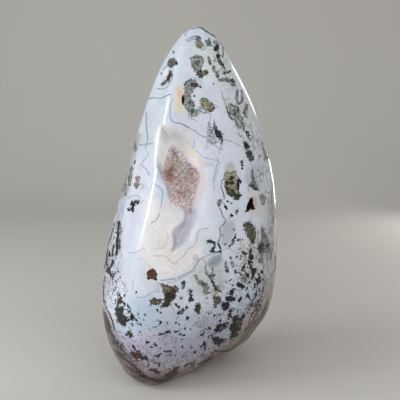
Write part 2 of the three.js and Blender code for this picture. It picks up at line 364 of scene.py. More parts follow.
def front_y(x, z):
    """The y of the uncarved stone's front surface at places seen from the front."""
    fall = fall_at(z)
    low = np.full(np.shape(x), -np.pi / 2)
    high = -low
    for _ in range(HALVINGS):
        angle = (low + high) / 2
        before = body_points(fall, angle)[..., 0] < x
        low = np.where(before, angle, low)
        high = np.where(before, high, angle)
    return body_points(fall, low)[..., 1]


# How many straight pieces there are to each stretch of the pocket's edge and of the dish's rim.
EDGE_STEPS = 4
RIM_STEPS = 3
POCKET_CURVE = catmull_rom(POCKET_EDGE, EDGE_STEPS, closed=True)
RIM_CURVE = catmull_rom(DISH_RIM, RIM_STEPS, closed=True)


def inside_pocket(x, z):
    return inside_outline(x, z, POCKET_CURVE)


def rounded_start(share):
    return np.hypot(share, DISH_ROUNDING) - DISH_ROUNDING


def dish_depth(x, z):
    """How deep the dish is: each stretch of the rim starts a wall, and the lowest of them counts."""
    lift = np.ones(np.shape(x))
    for a, b in zip(RIM_CURVE, np.roll(RIM_CURVE, -1, axis=0)):
        along, away = from_segment(x, z, a, b)
        wall = mixed((a[2], b[2]), np.clip(along, 0, 1))
        reach = np.minimum(1, rounded_start(away / wall) / rounded_start(1))
        start = mixed((reach * (2 - reach), smooth(reach, 0, 1)), smooth(wall, *DISH_SOFT))
        lift = np.minimum(lift, start)
    lift[inside_outline(x, z, RIM_CURVE[:, :2]) < 0] = 0
    return mixed(DISH_DEPTHS, smooth(z, *DISH_RISE)) * lift


def pocket_depth(x, z):
    rightward = smooth(x, *POCKET_SIDES)
    down_the_wall = smooth(inside_pocket(x, z) / mixed(POCKET_WALLS, rightward), 0, 1)
    return mixed(POCKET_DEPTHS, rightward) * down_the_wall


def hollow_depth(x, z):
    return dish_depth(x, z) + pocket_depth(x, z)


# ---------- meshes ----------
def make_object(name, points, faces, is_smooth):
    """A mesh object from points in millimetres."""
    mesh = bpy.data.meshes.new(name)
    mesh.from_pydata((np.asarray(points) * MM).tolist(), [], faces)
    mesh.polygons.foreach_set("use_smooth", np.full(len(mesh.polygons), is_smooth))
    mesh.update()
    made = bpy.data.objects.new(name, mesh)
    bpy.context.scene.collection.objects.link(made)
    return made


def numbers_of(items, key, width=1, kind=float):
    """What a mesh's points, faces or corners hold under a key: numbers, or rows of them."""
    flat = np.empty(len(items) * width, kind)
    items.foreach_get(key, flat)
    return flat.reshape(-1, width) if width > 1 else flat


# How many small steps a crowded spread of values is summed over.
SPREAD_STEPS = 4000


def spread(count, low, high, crowd):
    """count + 1 values from low to high that stand closer together where crowd is large."""
    ends = np.linspace(low, high, SPREAD_STEPS + 1)
    sums = np.concatenate([[0], np.cumsum(crowd((ends[1:] + ends[:-1]) / 2))])
    return np.interp(np.linspace(0, sums[-1], count + 1), sums, ends)


def ring_faces(rings, columns, first):
    """Quads that join rings of equal length, as lists of four."""
    row, column = np.meshgrid(np.arange(rings - 1), np.arange(columns), indexing="ij")
    a = first + row * columns + column
    b = first + row * columns + (column + 1) % columns
    return np.stack([a, a + columns, b + columns, b], axis=-1).reshape(-1, 4).tolist()


COLUMNS = 330
ROWS = 285
# How much closer the columns stand on the side that is looked at and beside the dish, and the rows at the
# dish and the foot; TIP_SHARE keeps rows at the tip.
FRONT_CROWD = (1.8, 1.25)
DISH_CROWD = (1.8, 0.4)
DISH_ANGLE = -0.32
ROW_CROWD = (0.7, 128, 36)
FOOT_CROWD = 9
TIP_SHARE = 0.3


def crowd_angle(angle):
    near_front = FRONT_CROWD[0] * bell(angle / FRONT_CROWD[1])
    return 1 + near_front + DISH_CROWD[0] * bell((angle - DISH_ANGLE) / DISH_CROWD[1])


def crowd_fall(fall):
    z = height_at(fall)
    near_dish = ROW_CROWD[0] * bell((z - ROW_CROWD[1]) / ROW_CROWD[2])
    return (TIP_SHARE + fall) * (1 + near_dish + bell(z / FOOT_CROWD))


def make_stone():
    angles = spread(COLUMNS, -np.pi, np.pi, crowd_angle)[:-1]
    falls = spread(ROWS, 0, 1, crowd_fall)[1:]
    points = body_points(falls[:, None], angles[None, :])
    front = np.abs(angles) < np.pi / 2
    points[:, front, 1] += hollow_depth(points[:, front, 0], points[:, front, 2])
    tip = [LEFT(0), FRONT(0), HEIGHT]
    points = np.concatenate([[tip], points.reshape(-1, 3), [[0, 0, 0]]])
    foot = len(points) - 1
    faces = ring_faces(len(falls), COLUMNS, 1)
    for column in range(COLUMNS):
        following = (column + 1) % COLUMNS
        faces.append([0, 1 + column, 1 + following])
        faces.append([foot, foot - COLUMNS + following, foot - COLUMNS + column])
    return make_object("jasper_stone", points, faces, True)


# How rough a pit's wall is, as a share of its radii, and the size of that roughness.
PIT_ROUGHNESS = 0.22
PIT_GRAIN = 1.6
PIT_SUBDIVISIONS = 4
# A pit with corners: how near its sides come to its middle, how far its corners go out beyond them, and
# how wide a corner is, in degrees.
PIT_SIDES, PIT_CORNERS, PIT_CORNER_WIDTH = 0.62, 0.72, 32


def pit_outline(angle, corners):
    """How far out a pit's wall lies in a direction, as a share of its radii."""
    if not corners:
        return 1
    turns = [(math.degrees(angle) - corner + 180) % 360 - 180 for corner in corners]
    return PIT_SIDES + PIT_CORNERS * max(bell(turn / PIT_CORNER_WIDTH) for turn in turns)


def make_pit_cutter(place, radii, sunk, corners):
    """A ball with a ragged surface, to be cut out of the stone."""
    bpy.ops.mesh.primitive_ico_sphere_add(subdivisions=PIT_SUBDIVISIONS, radius=1)
    cutter = bpy.context.object
    x, z = place
    middle = Vector((x, float(front_y(x, z)) + sunk, z))
    for vertex in cutter.data.vertices:
        ragged = 1 + PIT_ROUGHNESS * noise.noise(vertex.co * PIT_GRAIN + middle)
        ragged *= pit_outline(math.atan2(vertex.co.z, vertex.co.x), corners)
        at = Vector([side * radius * ragged for side, radius in zip(vertex.co, radii)])
        vertex.co = (at + middle) * MM
    return cutter


def cut(body, cutter):
    """Cuts the cutter out of the body for good, and deletes it."""
    modifier = body.modifiers.new("cut", "BOOLEAN")
    modifier.object = cutter
    modifier.solver = "EXACT"
    modifier.material_mode = "TRANSFER"
    bpy.context.view_layer.update()
    finished = bpy.data.meshes.new_from_object(body.evaluated_get(bpy.context.evaluated_depsgraph_get()))
    body.modifiers.clear()
    body.data = finished
    bpy.data.objects.remove(cutter)


# ---------- marks on the front, placed by pixels of the photograph's 400 x 400 frame ----------
# Soft washes of colour, some of them painted shade, painted light or a painted highlight: colour, how soft
# the edge is, how strong, and the outline. Later ones lie on top.
WASHES = [
    ("frost", 9, 0.9, "196,28 180,60 172,95 168,122 150,160 128,150 150,85 178,35"),
    ("fog", 7, 0.5, "136,110 152,106 154,120 146,150 128,160"),
    ("lavender", 10, 0.8, "150,150 148,200 140,250 145,285 108,290 106,240 128,160"),
    ("lavender", 8, 0.7, "203,84 232,88 240,130 236,160 205,136 176,122 176,112"),
    ("fog", 14, 0.6, "222,30 236,60 258,118 262,170 262,220 258,262 252,300 290,320 300,100"),
    ("ash", 8, 0.6, "263,196 268,222 259,240 258,262 264,292 300,292 300,196"),
    # Painted shade along the left edge, where the stone turns away from view.
    ("pale", 2.5, 0.85, "137,132 141,134 137,150 133,165 131,184 127,196 118,200 124,170"),
    ("dusk", 2.5, 0.5, "122,196 127,198 123,215 118,224 112,224"),
    ("ash", 3, 0.5, "246,168 256,166 259,190 250,190 245,182"),
    ("ash", 3, 0.35, "224,98 231,101 240,106 248,103 250,112 246,118 247,128 243,134 238,128 "
        "234,120 228,112"),
    ("rose", 3, 0.4, "183,147 192,152 200,160 205,170 204,184 199,190 195,176 190,163 184,154"),
    # Painted shade on the dish's left wall beside the pocket.
    ("painted_shade_grey", 2, 0.4, "156,171 161,172 165,180 162,184 157,178"),
    ("beige", 2, 0.55, "226,163 232,162 235,167 236,174 226,174 224,170"),
    ("clay", 4, 0.35, "243,240 256,232 262,250 264,275 260,296 250,292 243,276"),
    ("mint", 5, 0.7, "190,54 212,46 226,50 238,76 232,92 214,82 196,76"),
    ("mint", 6, 0.6, "224,98 240,92 252,112 258,140 250,150 236,128"),
    # Darker and browner towards the foot: partly the stone's own greyer, browner tone, partly painted shade
    # and painted brown light bounced up from below.
    ("dusk", 22, 0.9, "95,322 135,332 170,318 220,312 262,285 300,300 280,400 95,400"),
    ("taupe", 14, 0.7, "90,340 110,352 140,372 190,368 235,338 262,300 300,290 300,400 90,400"),
    ("loam", 9, 1, "90,352 112,364 150,378 200,370 232,346 254,318 300,296 300,400 90,400"),
    ("bark", 8, 0.95, "90,356 118,364 150,377 200,371 236,348 262,322 275,300 300,300 300,400 90,400"),
    ("bark", 5, 0.75, "90,300 100,304 104,322 120,352 140,369 136,380 90,366"),
    ("tan", 7, 0.6, "222,352 242,330 257,306 268,284 300,280 300,330 228,372"),
    ("bark", 6, 0.75, "205,358 236,343 256,322 269,300 300,290 300,340 240,372 205,374"),
    ("plum", 5, 0.8, "90,300 104,304 112,326 124,350 140,366 130,376 90,360"),
    ("taupe", 6, 0.5, "90,230 112,232 108,262 103,296 90,300"),
    ("cream", 11, 0.95, "146,200 163,205 178,205 186,214 178,232 174,250 190,252 198,240 200,232 208,229 "
        "211,240 204,255 195,265 183,274 168,279 157,277 146,264 139,247 144,225"),
    ("butter", 7, 0.9, "158,232 170,233 172,248 184,250 180,260 170,262 160,252"),
    ("sky", 9, 0.95, "128,296 150,298 166,310 160,330 150,338 128,336 124,318"),
    ("lilac", 9, 0.75, "134,338 148,332 158,340 154,352 140,356 130,348"),
    ("sky", 5, 0.6, "172,312 190,312 196,330 184,340 168,330"),
    ("sky", 3, 0.7, "241,279 252,279 254,290 250,302 240,312 228,310 234,290"),
    # Partly the wall's own pale tone, partly painted light glowing through the thin crest.
    ("cream", 3, 0.8, "157,126 166,124 172,140 170,160 163,172 156,165 155,140"),
    # Partly the top wall's own beige, partly a painted reflection of the floor below, as the wall faces down.
    ("sand", 6, 0.9, "160,124 180,128 194,136 194,148 186,152 176,146 166,142"),
    ("blush", 4, 0.9, "192,156 206,163 212,176 208,196 200,206 192,204 196,190"),
    # Painted highlight: the soft reflection on the dish's right slope, laid on as a pale wash.
    ("painted_highlight", 4, 0.9, "202,166 215,165 214,190 212,225 203,228 200,205 206,185"),
    ("lemon", 3, 0.4, "185,146 193,149 200,155 207,163 202,163 195,157 187,152"),
    # Painted shade along the lower-left rim of the dish and the valley below the pocket.
    ("painted_shade_grey", 2.5, 0.5, "158,160 165,173 169,182 171,198 177,202 184,204 189,211 189,222 184,231 178,234 "
        "176,248 172,250 173,236 179,230 184,222 184,212 178,206 170,203 167,192 165,182 160,172"),
    ("quartz", 3, 0.9, "176,232 181,228 187,226 190,231 189,238 184,246 178,250 175,246"),
    # Painted highlight along the right slope of the valley below the pocket.
    ("painted_highlight", 2, 0.7, "186,214 192,216 196,222 196,236 190,240 190,228"),
    ("aqua", 4, 0.65, "203,238 211,238 215,246 211,254 204,252"),
    ("apricot", 4, 0.9, "175,88 181,86 184,93 183,108 181,113 176,112 174,104 175,96"),
    ("amber", 3, 0.7, "178,88 182,88 183,94 181,98 178,96"),
    ("straw", 2, 0.9, "177,105 182,104 182,110 178,112"),
    ("clay", 7, 0.5, "250,194 260,194 265,204 260,214 250,214"),
    ("russet", 2, 0.5, "248,198 254,197 257,202 256.5,208 252,211 249,208"),
    ("sage", 5, 0.9, "197,263 210,257 222,261 226,275 222,292 205,297 194,292 191,280"),
    ("haze", 5, 0.7, "213,268 224,267 224,290 216,291"),
    ("haze", 2.5, 1, "224,220 234,221 236,232 232,240 226,247 220,245 221,230"),
    ("steel", 2.5, 0.9, "206,265 213,256 221.5,253.5 222.5,261 217,266 211,267"),
    ("chalk", 1.5, 1, "163,72 167.5,68.5 168,73 165,77"),
]
# Soft bands, some of them painted shade: colour, width, how soft the edge is, how strong, and the line they
# follow.
BANDS = [
    # Painted shade: a dark line along the lower-left rim of the dish, where it turns down into the valley.
    ("painted_rim_shade", 1.6, 1.8, 0.85, "157,165 163,178 167,187 170,198 176,203 184,208 186,214 184,222 175,229 "
        "173,234 175,243 172,251"),
    ("lemon", 1.6, 1.6, 0.45, "186,148 192,150 198,158 207,162"),
    ("blush", 1.6, 1.6, 0.6, "188,153 194,157 199,163"),
    # Painted shade on the top of the dish's left wall.
    ("quartz", 5, 5, 0.5, "158,126 161,133 166,140"),
    ("chalk", 1.4, 1.4, 0.6, "189,213 187,220 186,226 182,231 179,237 178,244"),
    ("chalk", 2, 2, 0.6, "190,214 195,222 196,232 192,240"),
    ("haze", 1.6, 1.4, 0.6, "212,152 217,158 219,164 217,174 214,182"),
    ("haze", 2.4, 2.4, 0.5, "203,166 209,164 216,168 214,180"),
    ("petal", 4, 3.5, 0.8, "171,144 180,147 188,155 197,163 202,172 201,182 197,192 193,204"),
]
# Ragged patches of moss and other grains: colour and outline.
PATCHES = {
    "khaki": [
        "196.5,41 200,41 202.5,43.5 203,47 201,48.5 198,48.5 195.5,46",
        "200,99.5 203.5,98 207.5,99.5 214,105 213.5,109 211.5,112 205,109 200.3,103",
        "134.5,183 137.5,182.5 139.2,184.5 138.5,187.5 136,188.5 134.5,185.5",
    ],
    "grey": [
        "196,37 199,36.5 200.5,38.5 198.5,41 196,40",
        "205,40.5 208,40 209.5,42.5 210.5,45.5 208.5,46 206,43.5",
        "207.7,56 209,56.5 210.3,60.5 210.8,64 209.3,63.5 208,60",
        "215.5,72 218.5,71.5 219,75.5 217.8,78.5 216,76",
        "218,79.5 223,78.3 233.5,79 235,82 235.5,86 232,85.5 229.5,82 225,81.5 220,81.5",
        "246,104 248,105 246.8,112 246.5,116.5 242.8,112.5 245,107.5",
        "214,120.5 216,126 219.5,131 222.5,134 222.5,141 221.5,144.5 219,138.5 215,136 213.5,127",
        "235.5,123.5 239,123 242,124.5 243.5,127.5 241,129 235.5,126",
        "262,141 264,149.5 268.5,160 267,161 263,151",
        "252.5,168 253.5,175 255,182 259,190.5 253,189 248.5,186.5 252,181 250.5,174",
        "237,240 241,238.5 244,239.5 241.5,241.5",
        "262,226 266.5,236 270,245 270,253 264,252.5 261.5,256 257.5,249 262.5,238 261,229.5",
        "259,258 262,257 263,261 262,265 259,261",
        "224.5,262 226.5,261.5 227.5,270 229,272.5 226,273",
        "240.5,277.5 245,276.5 249,277 248.5,279 241.5,280.5",
        "205.3,266.5 206.5,271 209.5,274.5 212,279 210.5,279 206,273",
        "212,268 214,269 213.5,279 211.8,279",
    ],
    "pale": [
        "213,42 216,40.5 218,42.5 215,44.5",
        "190.5,57.5 196,55 203,57 204.5,61 202,66 199,71 194,72 191.5,66",
        "212,66 214.5,66.5 216,69 215,73 213,71",
        "184.5,86 189.5,79.5 195.5,79.5 199.3,86 195,88.5 190.8,94.5 190.5,99 195,101 194,107 196,110 "
        "194,113.5 190.5,115 185,107.5 183.3,103 184.5,92",
        "192,112 197,108.5 199,111 198.5,115 192,117 188.5,113",
        "228,103.5 231.5,104 238.5,107.5 240,113 243.5,122 245,130 238,128 235,121 229.5,113",
        "217.8,201 220,199.7 222,201 221,204 219.5,206.5 218,204.5",
        "259,196 263,193 265.5,197 265,203 262,205",
        "231,262 233,261 234.5,265 232.5,267.5 231,265.5",
        "194,275 196.5,275 198.5,279.5 206,282.5 209,286 208.5,290 205,295 202.5,293 204.5,288 198,284",
    ],
    "ink": [
        "214,47 215.5,45.5 219,44.5 219.5,48 218,50.5 214.8,52 213.5,50",
        "222.8,71.5 224.5,71 226.2,75.5 224.2,75.5",
        "225.5,71.6 229,71.5 229.3,72.6 226,73.2",
        "238,178 240,178 242,182.5 239,184.5 237.5,190 236.3,187 236,184",
        "224,205.2 225.3,205.8 227.5,210 226.7,210 223.9,206.3",
        "230.5,214.7 232,214.2 233.3,216 231.5,216.5 229.5,217.8 229.3,216.5",
        "235,234 236,234.2 236,238.5 232.5,244.5 228.2,248.3 227.5,247 232,242.5 234.8,237",
        "240,273 241.8,273.5 242,276 240.5,275.5",
        "230.2,308.5 232.5,308 232.5,311.5 229,319 227.3,318.5",
        "216,328 218,324.5 224.5,322.5 228.5,323 226.5,327 222,332 216,332 212,334.5",
        "232,318 235.5,316 241.5,318 244,314 245,315.5 242,322 241.5,327 239,331 238,335.5 229.5,340.5 "
        "231.5,331 228,328.5 230.5,324.5 233,323",
        "117.3,299.5 119.5,297 123,301 122,303.5 119.5,303 119,307 123.5,306 124.5,309 122,313.5 129,318.5 "
        "131,317 127.8,310.5 132.5,313.5 137.5,321.5 134.5,320 127,322 124.5,327 118,323 115,312 114.5,308 "
        "117.3,306",
        "123,301.5 128.5,304.5 130.8,308.5 129,309 127,306 124,303.8",
        "130.5,203 132,201 134,202 135,200.5 138,200 139.5,201.5 138.5,204 135.5,203.5 134,207 133.8,211 "
        "132,213 130.8,210 128,211.5 127.5,208.5 131,208",
    ],
    "slate": [
        "215.5,55 218,53.5 220.3,55.5 219.6,59 223.5,64 225,67.5 224,69 219,63.5",
        "193.5,60 200,59 202.5,60.5 202,63.5 200,66 200,70 198,70 194,65.5",
        "246,131 248.5,131 250.8,139 250.3,141 247.5,135",
        "236,210 238.5,209 238.7,211.5 237.5,213.8 235.3,213.3",
        "206,241 211.5,239.8 214.8,241.5 215.5,247 212.5,250.5 213.5,254 210,253 210.5,250 213.3,246.5 "
        "213,242.5 207.5,242.6",
        "243.3,250.5 245,252.5 245,255.5 243,255.5 242,252.5",
        "188,288 189,287.5 192,290 190,291 189.8,292.3 188,291.5",
        "186.2,305.2 187.5,305.8 187,308 185.5,307.5",
        "256.5,300 258.3,301 255,308 254.3,306",
        "106,268 108.5,267 113.5,274.5 112.5,278 110.5,280 110.5,276 106,271",
        "118.3,293 120,294.5 121.5,298 118,296",
        "180,298.5 181.5,296.5 183,296.5 181.5,299",
    ],
    "brown": [
        "196,71.5 198.5,69.5 204,71.5 206,69.5 209,71 208,73 205.5,76 201,77.8 197,75",
        "233.5,270.5 236,270 237,272.5 235,274 233.8,272.5",
        "214,297.5 217,296.5 219.5,297 222,300.8 219,303.5 216.5,304.5 215.5,308 214.3,307 213.8,300",
        "149.5,300 152.5,298.5 158,299 162,300 161.5,303 155.5,305 152,304.5 150.5,306",
    ],
    "olive": [
        "245.5,150.5 251.5,151 254,159 251.5,162 247,157 246,154",
        "244,224.5 246,222 250,221.5 252.5,224 256,231.5 255.5,240 253.5,244 251,242.5 247,235 244,228.5",
        "160,284 165,283.5 169,287 178.5,286.5 177,292 174.5,298.5 170.5,303.5 167,307.5 158.5,306.5 "
        "164,302 164,296 162.5,290",
        "168.5,60 171,57.8 174,58 174.8,60.5 177,61.5 176.8,64 173,66.5 170,67.5 168,64.5",
        "170,69.5 172.3,70.5 172,74 169,80.5 164.5,84.7 162.3,85.5 162,82.5 166.5,78.5 168.2,75",
    ],
    "haze": [
        "199,107 203,108 208,111.5 209,113 204,113 200,112",
        "208.5,122 212,128 214.5,136 218,143 211,144 208.5,142 207.5,133",
    ],
    "moss": [
        "243.5,142 246.5,141.5 249.5,146.5 249.5,148.5 245.8,149.8 244,145",
        "212,279 214,282 216.5,284.5 219,290 220.8,292 216.5,290.5 213,285.5 211.5,282",
        "181.5,282 183,281 185.5,281.5 185.5,286 184,288.5 182.5,288.5",
        "196.5,303.5 199.5,303 200.5,308 198.8,313.5 197,313.5 194.5,309",
        "125.5,334 128,331.5 130.5,331.5 132.8,336 131,338.5 129.5,338 129,335 126,336",
    ],
    "coal": [
        "240.8,160.5 242.8,160 243,165.5 241.8,166",
        "220.8,304.5 222.5,301.5 229,302 229.8,304.5 228,309.5 226,309.5 223.5,311 222.5,307.5",
        "213.5,316 215,317.5 214.8,319.5 213.3,318.5",
        "258.5,288 260,289.5 259.5,291 257.8,290.5",
        "255,293 256,295 255.3,298 253.8,298.5",
        "253,299.5 252.5,303 248.5,310 247.5,309.5 251.5,301",
        "245.5,304.5 247,303.8 246.8,306",
        "103,283.5 103.5,280 105.5,277 104.5,281.5",
        "132,323 133.5,325.5 135,326.5 132.5,327 131.5,324.5",
    ],
    "beige": [
        "224.5,173 228,171.5 232,172 236,171 237,179 237.3,188 241,193.5 239,199 234,198.5 227,194 "
        "224.5,186 223.5,177",
    ],
    "umber": ["211.5,337.5 216,337 218,336 221,338.5 228,339 222.5,342 219.5,344.5 216,344.5 213,342"],
    "bark": [
        "130,353 132.5,351.5 137,352 142.5,355 148.5,358.5 147,361 138,358.5 135.5,359.5 131,356",
        "148.5,370.5 152,368.5 156,369 160,374 153,372",
        "163,377 169,373 175,367 179,367.5 176,374 171,377.5",
        "134.5,368 139,369.5 144,374 138,374",
        "101.5,309 105,312 109,321 111,329 108.5,333 105,328 102,318",
        "115,350 120,351.5 126,357 123,358.5 118,355",
        "150,379 158,379 168,380 178,378.5 170,383 158,383",
        "198,364 204,361 212,356 208,362 200,367",
    ],
    "forest": [
        "189.3,293.5 191.5,292.8 193,296.5 193,299 190.3,302.5 189.3,302",
        "180.5,310 183,307.8 185.3,309 182.5,314.5 177,314.5 177.5,312.5",
    ],
    "rose": ["135.5,177 138.5,176 140,179 138.5,182 136,181"],
}
# The soft bed that pale moss lies on: the patches it belongs to, colour, how soft its edge is, how strong.
BEDS = [("pale", "ash", 1.2, 0.6), ("grey", "ash", 1.2, 0.5), ("khaki", "beige", 1, 0.5)]
# Cores and grains with an edge of their own on top of the patches.
CORES = {
    "grey": [
        "195,61 200,61 199,65 196,64",
        "188.5,101.5 191,100 194.5,104.5 192,107 187.8,104",
        "189,110 193,109 195,111 192,114",
        "232,110 235,109.5 236.5,112.5 234.5,115.5",
        "237,106 239,107 239.5,111 238,112",
        "251.5,224 253,226 252,228",
        "199,281.5 204.5,282.8 207,285 203,285",
        "222,326 224.5,326 222.5,329 220,330.5 219.5,328.5",
    ],
    "rose": [
        "202,72.5 205,72 205,75 202,74.5",
        "152.3,301 154.5,300.9 154.5,302.6 152.5,302.8",
    ],
    "slate": [
        "230,79 234,79.5 234.5,82 231,81.5",
        "175,62 177,61.5 176.5,64",
        "234,194 237,194.5 242,194.5 238.5,200 236,200",
        "251,240 253.5,240 253.5,244 251.5,243",
        "225.5,270 228,271 228.5,273 226,273",
        "223.5,303 226.5,302.8 226.5,305.2 224,305.5",
    ],
    "moss": [
        "167,77 169.5,72 170.8,76 168,79.5",
        "224.5,181.5 227.5,181 229,183.5 227,185.5 225,184",
        "166,293.5 169,292 172.5,293.5 172.5,297 170,300.5 167,300 165.5,297",
        "163,303 167,300.5 169,302 166.5,306.5 160,305.8",
    ],
    "bark": [
        "233.5,330 237.5,330.5 237,334.5 233.5,335.5",
        "229.5,177.5 232.5,176 234,178.5 231.5,180 229.5,179.5",
        "229.5,180.8 233,180.5 234,183.5 231.5,184.8 229.3,183.2",
        "230.3,189.5 233,189 234.5,192 232.5,194 230,192",
    ],
    "brown": [
        "191,84 194.5,82 198.5,86 196,88 194,86.5 190.5,86.5",
        "249.5,150.5 251.5,151.5 252,155 250,154",
        "250,185.5 253.5,185 258,190.5 253,189.5",
        "259,245 262.5,243 264,248 261,252.5 258.5,250",
        "216.5,341.5 219.5,341.5 219,343.5 217,343.5",
        "172,291 174,289.5 177,290.5 173.5,298.5 172.5,297.5",
    ],
    "umber": [
        "225.5,296.5 234,297 235.8,299 234,301 225.5,301",
        "213.3,107 215,106.5 215.3,108.5 213.5,109.5",
        "237,183 239,186 239,190 237.5,189",
        "266,244.5 268.5,244 268.8,247 266.5,247.5",
        "250.5,200.5 254,199.3 252,202.5",
        "252,207.6 255.5,208.6 252.5,210",
        "146.2,277.5 148.5,276.5 149.5,279.3 147.5,279.3",
        "155,276 157.3,279 157,280.2 154,279.6",
    ],
    "olive": [
        "236,319 240,318.5 241,322 240.5,327 237,328 236,323.5",
        "208,110 211,110.5 211.5,112 208.5,111.8",
        "225.5,186.5 228.5,187.5 233,190.5 235,194 232,196.5 226.5,192.5",
    ],
    "forest": ["214,130 217,129.5 222,134.5 221,138 217,137 215,134"],
    "ink": [
        "249.5,249 251.5,248 251.5,254 253.5,256 253.5,259.5 252,260 248.7,256.5 249.8,253.5",
        "247,260 249.5,260.5 252.5,270 252,272.5 250.8,270 248.5,263",
        "242.5,266 244.8,264 245,267 243.8,269 242,269.5",
        "246,274 249,273.5 249.5,276 246.8,277.5 245,276.5",
        "251,270 255,267.5 256.5,269.5 253.5,277 252.5,280.5 251.5,279 252,275.5",
        "235.8,284.5 238.5,282 244,285 245,286.8 242.5,289 238,286",
        "236.8,301 238.5,299 241.5,296.5 242.8,298 239.3,301.8",
        "244.5,142.5 246.5,142.3 248.5,147 246.5,149",
        "266,155.5 268,156 268.3,160.5 266.8,159.5",
        "245,213 246,209.5 248.5,206.5 249.5,209.5 247,212",
    ],
    "coal": [
        "229.5,290 233.5,289 233.8,294.5 231,295 226,293.5 226,292.3 229.5,293",
        "246,296 248.5,293.5 249.5,296 249,298.5 247,297.5",
        "256,278 259,278.5 261.5,283 257,283.5 255.5,281",
        "261,270 263.5,271 263,274 260.5,273",
        "241.3,168 242.5,167.2 243.6,168.5 242.5,169.8",
    ],
    "steel": ["238.6,182 239.8,181.6 240,183 239,183.4"],
    "pale": [
        "182.7,284.5 184.2,284.5 184.2,287 182.8,287",
        "255.8,301.5 256.8,301.5 256.4,304 255.6,304",
    ],
    "khaki": ["181,311 182.8,310.3 183.5,312 181.8,313.3"],
    "chalk": ["123,311.5 126.5,312.5 128.5,316.5 126,316"],
    "beige": ["161.5,286.5 167,287 170,289 166,290.5 162,289"],
    "clay": ["214.5,293 217.5,291 219.5,294 217,296.5 215,296"],
}
# Single grains: colour, place and radius.
GRAINS = {
    "steel": "173.6,52.3,1.3 161.3,73.2,1 231.3,203.5,0.9 223,235.5,0.8 225.5,244.3,1.2 233.8,229.6,0.9",
    "grey": "194.3,96,1 213.7,84,0.9 230.5,258,1.4 237,257,1.1 184.8,328.5,1.1 191.5,347,1.2 128,354.5,1.3",
    "umber": "200.4,87,0.9 220.5,320.8,1 114,342.5,1.2",
    "ink": "230,71.5,1.2 227.5,201.4,0.8 157.5,310.3,0.9",
    "slate": "233.5,285.5,1 247,288,0.9 249.3,282.3,0.8 187.5,318.5,1.8 219.8,314.8,0.8 137.3,312.5,0.9 "
        "138.3,314.8,0.9 145,314.8,1 160.5,312.5,1 124.5,295.5,1 140.5,324.5,0.9 140,332.5,1 190.3,329.3,1 "
        "181.8,339.3,0.8 147,342.3,1.1 149,342.9,0.9 165.5,344.5,0.9 123,337,1 194.8,352,1.3",
    "coal": "136,292.7,1.1 176,304.5,1.3 178.7,306.8,1.3 160.6,322,1.2 159.3,324.2,0.9 167.5,323,1 "
        "176.2,322.7,1 178.8,324,1 209.5,328.2,1.4 182.3,346.5,1.2",
}
